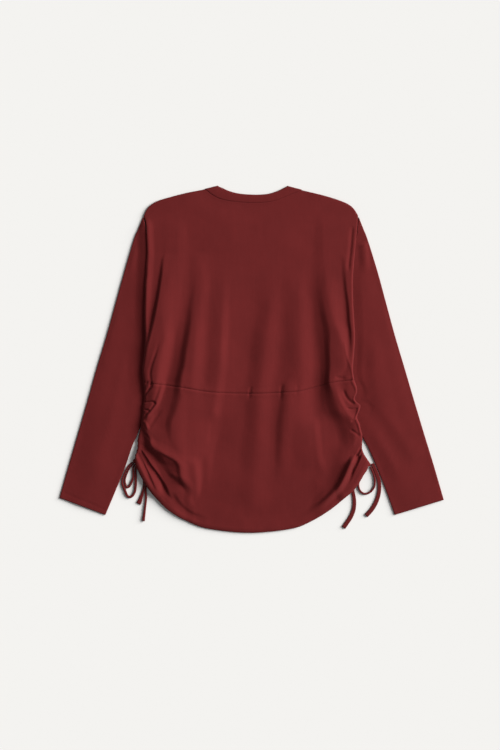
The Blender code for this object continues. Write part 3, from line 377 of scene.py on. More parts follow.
# Soft folds of the sleeves' upper layer
SLEEVE_FOLDS = [
    # name, height, west, east, fade_in, fade_out, route
    ("right head ridge", 2.0, 15, 12, 10, 40, [(225, 236), (228, 200), (230, 165)]),
    ("right long trough", -1.8, 26, 26, 80, 60, [
        (222, 60), (224, -20), (230, -76), (244, -112), (268, -148), (300, -196), (322, -240)]),
    ("right outer fold", 0.7, 22, 20, 60, 90, [(252, 140), (276, 40), (300, -60), (330, -170)]),
    ("left head ridge", 0.9, 10, 12, 10, 50, [(-232, 226), (-238, 196), (-246, 150)]),
    ("left outer fold", 0.7, 22, 24, 60, 90, [(-258, 120), (-282, 20), (-306, -80), (-330, -190)]),
    ("left inner fold", -0.8, 22, 24, 80, 60, [(-232, 60), (-244, -40), (-268, -140), (-300, -220)]),
]

# ---- drawcords
# A route's rows are x, y and the strap's width there.
KNOT_SIZE = (11.4, 10.6)
KNOT_RADIUS, KNOT_WALL = 0.30, 0.19     # of a turn and of its strap, as shares of the knot's size
KNOT_TURNS = [
    # tilt, heading, size along, size across
    (78, 20, 0.98, 0.92), (62, 85, 0.96, 0.90), (70, 140, 0.90, 0.86)]
KNOTS = {
    # name: x, y, height
    "knot_left": (-231.0, -204.0, 6.4),
    "knot_right": (233.8, -210.6, 6.4),
}
CORDS_UNDER_HEM = [[(-231, -204), (-210, -250)], [(233.8, -210.6), (204, -260)]]
CORDS = {
    "cord_left_outer_loop": (LOOP_THICK, [
        (-236.6, -206.6, 2.4), (-239.6, -208.8, 3.0), (-243.6, -212.8, 3.3), (-248.4, -219.6, 3.3),
        (-252.0, -227.1, 3.3), (-255.0, -234.8, 3.5), (-257.2, -241.7, 3.8), (-257.6, -248.0, 4.2),
        (-255.8, -254.5, 4.6), (-252.8, -261.0, 5.0), (-250.3, -267.8, 5.2), (-247.0, -273.9, 5.0),
        (-242.8, -276.2, 4.6), (-238.0, -274.2, 4.8), (-234.1, -269.0, 5.0), (-231.9, -263.0, 5.2),
        (-231.0, -255.5, 5.2), (-230.6, -247.8, 5.0), (-230.5, -240.2, 4.6), (-230.4, -232.5, 4.5),
        (-230.8, -224.8, 4.2), (-230.2, -217.6, 4.0), (-229.4, -213.4, 3.2), (-228.4, -209.4, 2.4)]),
    "cord_left_inner_loop": (LOOP_THICK, [
        (-234.2, -208.6, 2.4), (-237.2, -211.4, 2.9), (-241.2, -216.2, 3.2), (-245.4, -222.6, 3.3),
        (-248.6, -229.6, 3.4), (-251.2, -237.0, 3.6), (-252.4, -244.4, 4.0), (-251.0, -251.6, 4.4),
        (-248.2, -256.6, 4.6), (-243.8, -254.8, 4.6), (-240.4, -249.6, 4.6), (-237.8, -243.4, 4.4),
        (-235.6, -236.8, 4.0), (-235.3, -230.2, 3.9), (-235.7, -223.4, 3.9), (-235.4, -217.2, 3.6),
        (-233.6, -213.0, 3.0), (-231.4, -209.8, 2.4)]),
    "cord_left_tail_1": (TAIL_THICK, [
        (-226.0, -207.4, 2.4), (-221.0, -216.6, 3.2), (-216.8, -229.0, 3.4), (-214.9, -241.0, 3.4),
        (-214.5, -250.0, 3.4), (-215.0, -257.0, 3.6), (-216.0, -263.4, 4.4), (-217.8, -270.9, 6.0),
        (-220.3, -278.6, 7.4), (-222.7, -284.8, 8.8), (-224.9, -289.4, 9.6)]),
    "cord_left_tail_2": (LOOP_THICK, [
        (-224.6, -204.4, 2.4), (-216.8, -213.2, 3.2), (-212.0, -226.0, 3.6), (-209.7, -240.0, 3.8),
        (-209.9, -249.0, 3.9), (-210.5, -257.0, 4.2), (-210.7, -265.0, 4.5), (-209.8, -274.6, 4.5),
        (-210.3, -283.0, 4.5), (-211.5, -294.0, 4.5), (-212.5, -301.7, 4.7), (-213.3, -309.4, 5.0),
        (-214.6, -317.1, 5.8), (-214.9, -324.0, 5.4)]),
    "cord_right_loop": (LOOP_THICK, [
        (237.8, -214.8, 2.4), (239.8, -218.6, 3.2), (242.5, -224.2, 3.7), (245.2, -231.3, 3.9),
        (246.9, -239.7, 4.0), (247.4, -248.0, 4.0), (246.0, -255.5, 4.0), (241.7, -262.6, 4.0),
        (235.4, -267.6, 4.0), (228.3, -269.5, 4.0), (221.7, -267.3, 4.0), (217.1, -262.2, 4.0),
        (214.8, -255.5, 4.0), (214.5, -249.4, 4.0), (217.0, -241.5, 3.6), (221.8, -234.0, 3.4),
        (227.0, -227.0, 3.2), (231.0, -220.8, 2.8), (232.6, -216.4, 2.4)]),
    "cord_right_tail_1": (TAIL_THICK, [
        (242.4, -209.0, 6.6), (244.9, -214.6, 7.0), (248.3, -222.2, 7.3), (251.3, -229.7, 7.5),
        (253.8, -236.9, 7.6), (255.5, -244.0, 7.7), (256.4, -251.5, 7.7), (256.5, -259.0, 7.7),
        (255.7, -267.0, 7.8), (254.2, -274.0, 8.0), (251.6, -282.0, 8.2), (248.2, -289.7, 8.4),
        (243.0, -298.6, 8.4), (236.8, -306.3, 8.4), (229.8, -313.4, 8.4)]),
    "cord_right_tail_2": (TAIL_THICK, [
        (229.5, -214.8, 2.4), (224.2, -221.2, 3.0), (218.4, -228.4, 3.4), (212.6, -236.0, 3.6),
        (207.8, -244.6, 3.8), (204.6, -254.0, 4.6), (204.0, -262.0, 5.6), (204.8, -268.8, 6.4),
        (205.9, -277.2, 7.2), (206.6, -285.5, 7.5), (206.2, -293.8, 7.7), (204.8, -302.2, 8.0),
        (201.8, -310.5, 8.2), (197.5, -318.8, 8.4), (191.9, -327.2, 8.4), (184.8, -337.3, 8.4)]),
}


# ==== small maths
def dense_curve(points):
    """A Catmull-Rom curve through the points, and the distance travelled along it."""
    points = np.array(points, float)
    before, after = 2 * points[0] - points[1], 2 * points[-1] - points[-2]
    knots = np.vstack([before, points, after])
    t = np.linspace(0, 1, 24, endpoint=False)[:, None]
    dense = []
    for a, b, c, d in zip(knots, knots[1:], knots[2:], knots[3:]):
        dense.append(0.5 * (2 * b + (c - a) * t + (2 * a - 5 * b + 4 * c - d) * t ** 2
                            + (3 * b - a - 3 * c + d) * t ** 3))
    dense = np.vstack(dense + [points[-1:]])
    steps = np.linalg.norm(np.diff(dense[:, :2], axis=0), axis=1)
    return dense, np.concatenate([[0], np.cumsum(steps)])


def at_shares(points, shares):
    """The smooth line through points, read at shares of its length."""
    dense, travelled = dense_curve(points)
    stops = np.array(shares) * travelled[-1]
    return np.stack([np.interp(stops, travelled, column) for column in dense.T], axis=1)


def smooth_line(points, count):
    return at_shares(points, np.linspace(0, 1, count))


def line_length(points):
    return dense_curve(points)[1][-1]


def smoothstep(value, low, high):
    share = np.clip((value - low) / (high - low), 0, 1)
    return share * share * (3 - 2 * share)


def hump(share):
    """1 at 0, falling to 0 at 1 along half a cosine wave."""
    return 0.5 + 0.5 * np.cos(np.pi * np.clip(share, 0, 1))


def bell(distance, place, width):
    """1 at a place, falling off softly to either side."""
    return np.exp(-((distance - place) / width) ** 2)


def distance_to(x, y, line):
    """Shortest distance from each place to a closely spaced line of points."""
    best = np.full(x.shape, np.inf)
    for start in range(0, len(line), 64):
        part = line[start:start + 64]
        gap = (x[..., None] - part[:, 0]) ** 2 + (y[..., None] - part[:, 1]) ** 2
        best = np.minimum(best, gap.min(axis=-1))
    return np.sqrt(best)


def beside(x, y, route):
    """Signed distance to a route, positive to its east, and the distance travelled along it."""
    line = smooth_line(route, max(12, round(line_length(route) / ROUTE_STEP)))
    dx, dy = x[:, None] - line[:, 0], y[:, None] - line[:, 1]
    index = np.argmin(dx ** 2 + dy ** 2, axis=1)
    rows = np.arange(len(x))
    gap_x, gap_y = dx[rows, index], dy[rows, index]
    heading = np.gradient(line, axis=0)
    heading /= np.linalg.norm(heading, axis=1)[:, None]
    hx, hy = heading[index, 0], heading[index, 1]
    step = line_length(route) / (len(line) - 1)
    along = index * step + gap_x * hx + gap_y * hy
    return hx * gap_y - hy * gap_x, along


def folds_rise(x, y, folds):
    """Sum of a table's folds at each place."""
    flat_x, flat_y = x.ravel(), y.ravel()
    rise = np.zeros_like(flat_x)
    for _, height, west, east, fade_in, fade_out, route in folds:
        reach = max(west, east)
        low, high = np.min(route, axis=0) - reach - 4, np.max(route, axis=0) + reach + 4
        near = (flat_x > low[0]) & (flat_x < high[0]) & (flat_y > low[1]) & (flat_y < high[1])
        if not near.any():
            continue
        distance, along = beside(flat_x[near], flat_y[near], route)
        length = line_length(route)
        strength = smoothstep(along, 0, fade_in) * (1 - smoothstep(along, length - fade_out, length))
        rise[near] += height * strength * hump(np.abs(distance) / np.where(distance > 0, east, west))
    return rise.reshape(x.shape)


def through(x, xs, ys):
    """A smooth curve through points in order of xs that never swings past them, read at x."""
    width, rise = np.diff(xs, axis=-1), np.diff(ys, axis=-1)
    rate = rise / width
    before, after = rate[..., :-1], rate[..., 1:]
    turning = before * after <= 0
    inner = np.where(turning, 0, 2 * before * after / np.where(turning, 1, before + after))
    none = np.zeros(inner.shape[:-1] + (1,))
    slopes = np.concatenate([none, inner, none], axis=-1)
    index = np.clip((x[..., None] > xs).sum(axis=-1) - 1, 0, xs.shape[-1] - 2)[..., None]

    def pick(values, step=0):
        values = np.broadcast_to(values, x.shape + values.shape[-1:])
        return np.take_along_axis(values, index + step, axis=-1)[..., 0]

    wide = pick(width)
    t = np.clip((x - pick(xs)) / wide, 0, 1)
    return ((2 * t ** 3 - 3 * t ** 2 + 1) * pick(ys) + (t ** 3 - 2 * t ** 2 + t) * wide * pick(slopes)
            + (3 * t ** 2 - 2 * t ** 3) * pick(ys, 1) + (t ** 3 - t ** 2) * wide * pick(slopes, 1))


def ridges_lift(x, y):
    """Height of the cloth over its flat place, between the long folds' crests and troughs."""
    places, heights = [], []
    for line in RIDGE_LINES.values():
        rows = np.array(line[::-1], float)
        place = through(y, rows[:, 1], rows[:, 0])
        if places:
            place = np.maximum(place, places[-1] + LEAST_GAP)
        places.append(place)
        heights.append(through(y, rows[:, 1], rows[:, 2]))
    return through(x, np.stack(places, axis=-1), np.stack(heights, axis=-1))


def unevenness(x, y, size, seed):
    """Smooth irregular waves between -1 and 1, about size millimetres apart."""
    cells = 64
    heights = np.random.default_rng(seed).uniform(-1, 1, (cells, cells))
    u, v = (x / size) % cells, (y / size) % cells
    i, j = np.floor(u).astype(int), np.floor(v).astype(int)
    a, b = u - i, v - j
    a, b = a * a * (3 - 2 * a), b * b * (3 - 2 * b)
    i2, j2 = (i + 1) % cells, (j + 1) % cells
    i, j = i % cells, j % cells
    return ((heights[i, j] * (1 - a) + heights[i2, j] * a) * (1 - b)
            + (heights[i, j2] * (1 - a) + heights[i2, j2] * a) * b)


def waves(x, y, kinds):
    """Sum of several sizes of unevenness."""
    return sum(height * unevenness(x, y, size, seed) for height, size, seed in kinds)


# ==== the back's form
def left_edge_rise(x, y):
    """The left sleeve's rise to the body's edge, which carries that edge up."""
    distance, _ = beside(x.ravel(), y.ravel(), LEFT_SIDE)
    west, east = EDGE_RISE_REACH
    shape = hump(np.abs(distance) / np.where(distance > 0, east, west)).reshape(x.shape)
    strength = smoothstep(y, *EDGE_RISE_STARTS) * (1 - smoothstep(y, *EDGE_RISE_ENDS))
    return EDGE_RISE * strength * shape


def clearance(x, y):
    """The least height of the back's underside: over the front, the sleeves and the cords."""
    over_sleeve = smoothstep(np.abs(x), *SLEEVE_ZONE) * (1 - smoothstep(y, *SHOULDER_ZONE))
    least = OVER_FRONT + (OVER_SLEEVE - OVER_FRONT) * over_sleeve
    for stretch in CORDS_UNDER_HEM:
        near = 1 - smoothstep(distance_to(x, y, smooth_line(stretch, 60)), *CORD_ZONE)
        least = np.maximum(least, OVER_FRONT + (OVER_CORDS - OVER_FRONT) * near)
    return least + left_edge_rise(x, y)


def edge_roll(x, y):
    """0 at the back's edge, rising over a quarter round to 1, and the distance from the edge."""
    rolls = [(SHOULDER_ROLL, [LEFT_SHOULDER, RIGHT_SHOULDER]),
             (SEAM_ROLL, [BACK_NECK_SEAM]), (HEM_ROLL, [BACK_HEM]),
             (LEFT_ROLL, [LEFT_SIDE, LEFT_LOWER_SIDE]), (RIGHT_ROLL, [RIGHT_SIDE, RIGHT_LOWER_SIDE])]
    inside, rolled = np.full(x.shape, np.inf), np.ones(x.shape)
    for width, edges in rolls:
        for edge in edges:
            distance = distance_to(x, y, smooth_line(edge, round(line_length(edge))))
            share = np.clip(distance / width, 0, 1)
            rolled = np.minimum(rolled, np.sqrt(1 - (1 - share) ** 2))
            inside = np.minimum(inside, distance)
    return rolled, inside


def seam_relief(x, y):
    """The seam across the back: a fine groove between two soft, slightly puckered welts."""
    distance = distance_to(x, y, smooth_line(BACK_SEAM, 440))
    pucker = 0.75 + 0.5 * unevenness(x, y * 0.2, 9, 5)
    return 0.55 * pucker * bell(distance, 4.0, 3.2) - 0.9 * bell(distance, 0, 1.5)


def hem_relief(x, y):
    """The doubled hem: a step down where it ends, pressed in by the stitches."""
    distance = distance_to(x, y, smooth_line(BACK_HEM, 640))
    hem_end = HEM_DEPTH + NEEDLE_GAP
    doubled = 0.35 * (1 - smoothstep(distance, hem_end, hem_end + 3))
    uneven = 0.25 * unevenness(x, y, 13, 11) * (1 - smoothstep(distance, 10, 26))
    return doubled - 0.35 * bell(distance, STITCHES, 2.6) + uneven


def back_top(x, y):
    """Height of the back's upper surface."""
    from_neck = distance_to(x, y, smooth_line(BACK_NECK_SEAM, 200))
    lift = ridges_lift(x, y) * (1 - 0.5 * smoothstep(y, *SHOULDERS))
    lift = lift * (0.1 + 0.9 * smoothstep(from_neck, 0, NECK_FLAT))
    lift = lift + folds_rise(x, y, FOLDS) + waves(x, y, BACK_WAVES)
    above_zero = 0.5 * (lift + np.sqrt(lift ** 2 + 1))
    soft = above_zero * (0.35 + 0.65 * smoothstep(from_neck, 0, NECK_SOFT))
    roll, inside = edge_roll(x, y)
    neck_stitches = 0.16 * bell(from_neck, 6, 1.6)
    fine = folds_rise(x, y, GATHERS) + seam_relief(x, y) + hem_relief(x, y) - neck_stitches
    fine = fine * smoothstep(inside, 0, 3)
    return clearance(x, y) + CLOTH + np.maximum(soft * roll + fine, 0)


# ==== meshes
def patch(top, bottom, left, right, across):
    """Coons patch between four edges: a row for each point of left and right, a column for each stop."""
    across = np.array(across)[None, :, None]
    down = (left[:, 1] + right[:, 1]) / 2
    down = ((down[0] - down) / (down[0] - down[-1]))[:, None, None]
    top, bottom = top[None], bottom[None]
    left, right = left[:, None], right[:, None]
    corners = ((1 - down) * ((1 - across) * left[:1] + across * right[:1])
               + down * ((1 - across) * left[-1:] + across * right[-1:]))
    return (1 - down) * top + down * bottom + (1 - across) * left + across * right - corners


def object_from(bm, name, material):
    mesh = bpy.data.meshes.new(name)
    bm.to_mesh(mesh)
    bm.free()
    mesh.shade_smooth()
    mesh.materials.append(material)
    obj = bpy.data.objects.new(name, mesh)
    bpy.context.scene.collection.objects.link(obj)
    return obj


def grid_object(name, grid, material):
    """A sheet through a grid of points, row by row from the top, facing up."""
    rows, columns = grid.shape[:2]
    bm = bmesh.new()
    bmesh.ops.create_grid(bm, x_segments=columns - 1, y_segments=rows - 1, size=0.5)
    obj = object_from(bm, name, material)
    places = np.empty(rows * columns * 3)
    obj.data.vertices.foreach_get("co", places)
    places = places.reshape(-1, 3)
    column = np.rint((places[:, 0] + 0.5) * (columns - 1)).astype(int)
    row = np.rint((0.5 - places[:, 1]) * (rows - 1)).astype(int)
    obj.data.vertices.foreach_set("co", (grid[row, column] * MM).ravel())
    obj.data.update()
    return obj


def skin(bm, rings, closed=True, joined_ends=False):
    """Faces through rings of points in metres. A closed ring's last point meets its first one."""
    grid = [[bm.verts.new(point) for point in ring] for ring in rings]
    for ring, following in zip(grid, grid[1:] + (grid[:1] if joined_ends else [])):
        for i in range(len(ring) if closed else len(ring) - 1):
            j = (i + 1) % len(ring)
            bm.faces.new((ring[i], ring[j], following[j], following[i]))
    return grid


def skin_object(bm, name, material):
    """An object from finished skins, with their faces turned outwards."""
    bmesh.ops.recalc_face_normals(bm, faces=bm.faces)
    return object_from(bm, name, material)


def thicken(obj, thickness, offset=-1):
    """Give a sheet its thickness: downwards, or to both sides with an offset of 0."""
    shell = obj.modifiers.new("cloth", "SOLIDIFY")
    shell.thickness = thickness * MM
    shell.offset = offset
    return obj


def dense_sides(width, edge_zone, fine, coarse):
    """Shares of a width: fine steps near both edges, finest at the very edge, coarse ones between."""
    steps = [0.0, 0.35, 0.9, 1.7, 2.7]
    while steps[-1] < edge_zone:
        steps.append(steps[-1] + fine)
    side = np.array(steps) / width
    middle_count = round((width - 2 * steps[-1]) / coarse) + 1
    middle = np.linspace(side[-1], 1 - side[-1], middle_count)[1:-1]
    return np.concatenate([side, middle, 1 - side[::-1]])


# ==== materials
def node_maker(name):
    """A new material, and a short helper that adds a node to it and sets the node's inputs."""
    material = bpy.data.materials.new(name)
    material.use_nodes = True
    tree = material.node_tree
    tree.nodes.clear()

    def add(kind, settings=(), **inputs):
        node = tree.nodes.new(kind)
        for key, value in dict(settings).items():
            setattr(node, key, value)
        for key, value in inputs.items():
            socket = node.inputs[int(key[1:])] if key[0] == "_" else node.inputs[key]
            if isinstance(value, bpy.types.NodeSocket):
                tree.links.new(value, socket)
            else:
                socket.default_value = value
        return node

    return material, add


def surface(add, **inputs):
    """The shader and the output that a material ends with."""
    shader = add("ShaderNodeBsdfPrincipled", **inputs)
    add("ShaderNodeOutputMaterial", _0=shader.outputs[0])


def two_tones(add, shade, low_colour, high_colour, low_place=0.0, high_place=1.0):
    ramp = add("ShaderNodeValToRGB", _0=shade)
    low, high = ramp.color_ramp.elements
    low.position, high.position = low_place, high_place
    low.color, high.color = (*low_colour, 1), (*high_colour, 1)
    return ramp.outputs[0]


def jersey(name, colour, grain_angle=0.0, depth=1.0):
    """Matt cotton jersey: columns of small V-shaped loops, a soft mottle and a little fuzz."""
    material, add = node_maker(name)

    def math_node(operation, a, b=0.0, c=0.0):
        return add("ShaderNodeMath", {"operation": operation}, _0=a, _1=b, _2=c).outputs[0]

    place = add("ShaderNodeTexCoord").outputs["Object"]
    turned = add("ShaderNodeMapping", _0=place, _2=(0, 0, math.radians(grain_angle))).outputs[0]
    axes = add("ShaderNodeSeparateXYZ", _0=turned).outputs
    across = math_node("PINGPONG", math_node("MULTIPLY", axes[0], 1 / (WALE * MM)), 0.5)
    rows = math_node("MULTIPLY", axes[1], 1 / (COURSE * MM))
    slant = math_node("MULTIPLY_ADD", across, 1.1, rows)
    loops = math_node("SINE", math_node("MULTIPLY", slant, 2 * math.pi))
    rib = math_node("SINE", math_node("MULTIPLY", across, 2 * math.pi))
    knit = math_node("MULTIPLY_ADD", loops, 0.35, rib)
    fuzz = add("ShaderNodeTexNoise", _2=900.0, _3=2.0, _0=place).outputs[0]
    mottle = add("ShaderNodeTexNoise", _2=14.0, _3=4.0, _4=0.6, _0=place).outputs[0]
    streak_space = add("ShaderNodeMapping", _0=turned, _3=(260.0, 22.0, 22.0)).outputs[0]
    streak = add("ShaderNodeTexNoise", _2=1.0, _3=3.0, _0=streak_space).outputs[0]

    shade = math_node("ADD", math_node("MULTIPLY", mottle, 0.55), math_node("MULTIPLY", streak, 0.30))
    shade = math_node("ADD", shade, math_node("MULTIPLY", fuzz, 0.15))
    tones = two_tones(add, shade, [c * 0.90 for c in colour], [c * 1.09 for c in colour], 0.30, 0.70)
    bump_knit = add("ShaderNodeBump", _0=0.30 * depth, _1=0.00022, Height=knit).outputs[0]
    bump = add("ShaderNodeBump", _0=0.25 * depth, _1=0.00015, Height=fuzz, Normal=bump_knit)
    rough = add("ShaderNodeMapRange", **{"Value": fuzz, "To Min": 0.80, "To Max": 0.95})
    surface(add, **{"Base Color": tones, "Roughness": rough.outputs[0], "Normal": bump.outputs[0],
                    "Specular IOR Level": 0.12, "Sheen Weight": 0.05, "Sheen Roughness": 0.45,
                    "Sheen Tint": (1.0, 0.72, 0.70, 1)})
    return material


def floor_material():
    material, add = node_maker("studio_floor")
    place = add("ShaderNodeTexCoord").outputs["Object"]
    cloudy = add("ShaderNodeTexNoise", _2=1.5, _3=2.0, _0=place).outputs[0]
    tones = two_tones(add, cloudy, [c * 0.995 for c in FLOOR_WHITE], FLOOR_WHITE)
    surface(add, **{"Base Color": tones, "Roughness": 0.95, "Specular IOR Level": 0.0})
    return material


# ==== camera, light and floor
def camera():
    data = bpy.data.cameras.new("camera")
    data.sensor_width = SENSOR
    data.lens = SENSOR * CAMERA_DISTANCE / VIEW_HEIGHT
    obj = bpy.data.objects.new("camera", data)
    obj.location = (*VIEW_CENTRE, CAMERA_DISTANCE)
    bpy.context.scene.collection.objects.link(obj)
    bpy.context.scene.camera = obj


def lamp(name, data, towards, receivers):
    """A lamp that shines from towards on a collection of objects."""
    data.color = LIGHT_COLOUR
    obj = bpy.data.objects.new(name, data)
    obj.rotation_mode = "QUATERNION"
    obj.rotation_quaternion = towards.to_track_quat("Z", "Y")
    obj.location = Vector(LIGHT_AIM) + towards * LIGHT_DISTANCE
    obj.light_linking.receiver_collection = receivers
    bpy.context.scene.collection.objects.link(obj)


def lights(garment, stage):
    """One soft light from the upper right. The floor has its own even copy of it."""
    plan = Vector((*LIGHT_FROM, 0)).normalized() * math.cos(math.radians(LIGHT_ELEVATION))
    towards = Vector((plan.x, plan.y, math.sin(math.radians(LIGHT_ELEVATION))))
    key = bpy.data.lights.new("key", "AREA")
    key.shape, (key.size, key.size_y), key.energy = "RECTANGLE", LIGHT_SIZE, KEY_POWER
    key.spread = math.radians(LIGHT_SPREAD_KEY)
    lamp("key", key, towards, garment)
    floor_key = bpy.data.lights.new("floor_key", "SUN")
    floor_key.energy, floor_key.angle = FLOOR_KEY, math.radians(LIGHT_SPREAD)
    lamp("floor_key", floor_key, towards, stage)
    world = bpy.data.worlds.new("studio")
    world.use_nodes = True
    background = world.node_tree.nodes["Background"]
    background.inputs["Color"].default_value = SKY_COLOUR
    background.inputs["Strength"].default_value = SKY_STRENGTH
    bpy.context.scene.world = world


def floor():
    bm = bmesh.new()
    bmesh.ops.create_grid(bm, x_segments=8, y_segments=8, size=FLOOR_REACH)
    obj = object_from(bm, "floor", floor_material())
    obj.location.z = FLOOR_TOP
    return obj


# ==== cords and knots
def stands_for(obj, node):
    """Tie a piece of the scene to the solid in whose place it is seen."""
    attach(obj, "root")
    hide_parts(node)


def strap_section(width, thickness):
    """A soft strap's outline: full round edges, and a shallow valley along a wide strap's middle."""
    angles = (np.arange(STRAP_SIDES) + 0.5) * 2 * math.pi / STRAP_SIDES
    side, rise = [np.sign(wave) * np.abs(wave) ** 0.75 for wave in (np.cos(angles), np.sin(angles))]
    side, rise = side / side.max(), rise / rise.max()
    valley = 0.22 * smoothstep(width / thickness, 1.6, 2.6) * bell(side, 0, 0.42)
    return np.stack([side * width / 2, rise * (1 - valley) * thickness / 2], axis=1)


def strap(name, line, thickness, material):
    """A strap along a line of x, y and width, resting on the table, and its centreline."""
    tangent = np.gradient(line[:, :2], axis=0)
    tangent /= np.linalg.norm(tangent, axis=1)[:, None]
    rings, path = [], []
    for (x, y, width), (tx, ty) in zip(line, tangent):
        high = min(thickness, width)
        centre = np.array([x, y, high / 2 + ON_TABLE])
        section = strap_section(width, high)
        rings.append([(centre + np.array([ty * w, -tx * w, h])) * MM for w, h in section])
        path.append(centre * MM)
    bm = bmesh.new()
    grid = skin(bm, rings)
    bm.faces.new(grid[0][::-1])
    bm.faces.new(grid[-1])
    return skin_object(bm, name, material), path


def drawcords(material):
    for name, (thickness, route) in CORDS.items():
        line = smooth_line(route, round(line_length(route) / CORD_STEP))
        obj, path = strap(name + "_strap", line, thickness, material)
        stands_for(obj, name)


def around(count):
    return [2 * math.pi * i / count for i in range(count)]


def knot(name, x, y, height, material):
    """Three turns of the strap pulled tight round each other."""
    scale = Vector((*KNOT_SIZE, height))
    middle = Vector((x, y, height / 2 + ON_TABLE))
    bm = bmesh.new()
    for tilt, heading, long_size, short_size in KNOT_TURNS:
        tilt, heading = math.radians(tilt), math.radians(heading)
        axis = Vector((math.cos(heading) * math.sin(tilt), math.sin(heading) * math.sin(tilt),
                       math.cos(tilt)))
        spin = Vector((0, 0, 1)).rotation_difference(axis)
        rings = []
        for angle in around(28):
            ring = []
            for turn in around(10):
                out = KNOT_RADIUS + KNOT_WALL * math.cos(turn)
                point = spin @ Vector((out * long_size * math.cos(angle),
                                       out * short_size * math.sin(angle),
                                       KNOT_RADIUS * math.sin(turn)))
                point *= min(1, 0.5 / point.length)
                ring.append((point * scale + middle) * MM)
            rings.append(ring)
        skin(bm, rings, joined_ends=True)
    obj = skin_object(bm, name + "_turns", material)
    stands_for(obj, name)
    return obj


# ==== cloth pieces
def top_edge(neck, shoulder_count, neck_count):
    """The body's top edge from armhole to armhole, with a neckline between the shoulders."""
    return np.vstack([smooth_line(LEFT_SHOULDER[::-1], shoulder_count),
                      smooth_line(neck, neck_count)[1:-1],
                      smooth_line(RIGHT_SHOULDER, shoulder_count)])


def laid_sheet(name, edges, across, height, material):
    """A sheet between its top, bottom, left and right edge, whose upper side is at height(x, y)."""
    top, bottom, left, right = edges
    plan = patch(top, bottom, left, right, across)
    x, y = plan[..., 0], plan[..., 1]
    return thicken(grid_object(name, np.stack([x, y, height(x, y)], axis=-1), material), CLOTH)


def back_panel(name, columns, steps, top, bottom, sides, material):
    """A panel of the back. steps are the places of its rows, in mm down its sides."""
    rows = np.array(steps) / steps[-1]
    left, right = [at_shares(side, rows) for side in sides]
    top[0], top[-1], bottom[0], bottom[-1] = left[0], right[0], left[-1], right[-1]
    return laid_sheet(name, (top, bottom, left, right), columns, back_top, material)


def back_upper(material):
    columns = dense_sides(430, 70, 1.7, 3.0)
    edge = top_edge(BACK_NECK_SEAM, 160, 160)
    x = edge[0, 0] + (edge[-1, 0] - edge[0, 0]) * columns
    top = np.stack([x, np.interp(x, edge[:, 0], edge[:, 1])], axis=1)
    steps = [0, 0.4, 1.0, 1.8, *np.arange(3.2, 338, 2.0), 339.4, 340.6, 341.6, 342.4, 343]
    return back_panel("back_upper_cloth", columns, steps, top, at_shares(BACK_SEAM, columns),
                      (LEFT_SIDE, RIGHT_SIDE), material)


def back_lower(material):
    columns = dense_sides(468, 78, 1.7, 3.0)
    steps = [0, 0.5, 1.0, 1.8, 3.0, *np.arange(4.4, 160, 1.25), 160.6, 161.0, 161.3]
    return back_panel("back_lower_cloth", columns, steps, at_shares(BACK_SEAM, columns),
                      at_shares(BACK_HEM, columns), (LEFT_LOWER_SIDE, RIGHT_LOWER_SIDE), material)


def front_top(x, y):
    """The front's upper side: thin cloth that lies a little unevenly on the table."""
    return CLOTH + 0.18 * (1 + unevenness(x, y, 46, 21)) * smoothstep(350 - np.hypot(x, y), 0, 60)


def front_body(material):
    """The layer on the table. Its plan follows the shoulders, armholes, sides and hem."""
    rows, across = np.linspace(0, 1, 190), np.linspace(0, 1, 150)
    sides = []
    for armhole, inner, lower, inwards in ((LEFT_ARMHOLE, LEFT_INNER, FRONT_LEFT_LOWER, 0.6),
                                           (RIGHT_ARMHOLE, RIGHT_INNER, FRONT_RIGHT_LOWER, -0.6)):
        side = np.vstack([smooth_line(armhole, 42) + (inwards, 0),
                          smooth_line(inner[:4:-1], 30)[1:] + (inwards, 0),
                          smooth_line(lower, 20)[1:]])
        sides.append(at_shares(side[::2], rows))
    left, right = sides
    top = at_shares(top_edge(FRONT_NECK_SEAM, 60, 90)[::2], across)
    bottom = at_shares(FRONT_HEM, across)
    left[0], right[0], left[-1], right[-1] = top[0], top[-1], bottom[0], bottom[-1]
    return laid_sheet("front_cloth", (top, bottom, left, right), across, front_top, material)


def half_round(centre, outward, radius, start, steps):
    """Points of a folded edge between two layers, from its start angle to the other side."""
    points = []
    for share in np.linspace(0, 1, steps + 2)[1:-1]:
        angle = math.radians(start * (1 - 2 * share))
        x, y = centre + outward * radius * math.cos(angle)
        points.append((x, y, radius + radius * math.sin(angle)))
    return points


def sleeve(name, outer, inner, armhole, sides, material):
    """A tube pressed flat, from the cuff to the armhole seam, open at the cuff."""
    half = SLEEVE_HEIGHT / 2
    rows = 250
    outer_line, inner_line = smooth_line(outer, rows), smooth_line(inner, rows)
    over, under = np.linspace(0, 1, 64), np.linspace(0, 1, 14)
    sections = []
    for along, a, b in zip(np.linspace(0, 1, rows), outer_line, inner_line):
        width = np.linalg.norm(b - a)
        across = (b - a) / width
        bend = smoothstep(along, 0.6, 1.0)

        def plan(shares):
            """Places across the sleeve, which bend towards its head's curve near the armhole."""
            straight = outer_line[-1] + (inner_line[-1] - outer_line[-1]) * shares[:, None]
            shift = (at_shares(armhole, shares) - straight) * bend
            return a + across * (half + shares[:, None] * (width - 2 * half)) + shift

        sections.append((plan(over), plan(under), across))
    tops = np.array([section[0] for section in sections])
    rise = sleeve_rise(tops, over, (outer, inner, sides), *SLEEVE_DOMES[name])
    rings = []
    for (high, low, across), lift in zip(sections, rise):
        bottom = [(x, y, UNDERSIDE) for x, y in low]
        top = [(x, y, SLEEVE_HEIGHT + z) for (x, y), z in zip(high, lift)]
        rings.append(np.array(bottom + half_round(low[-1], across, half, -90, 5)
                              + top[::-1] + half_round(low[0], -across, half, 90, 5)) * MM)
    bm = bmesh.new()
    skin(bm, rings)
    return thicken(skin_object(bm, name + "_cloth", material), SLEEVE_CLOTH)


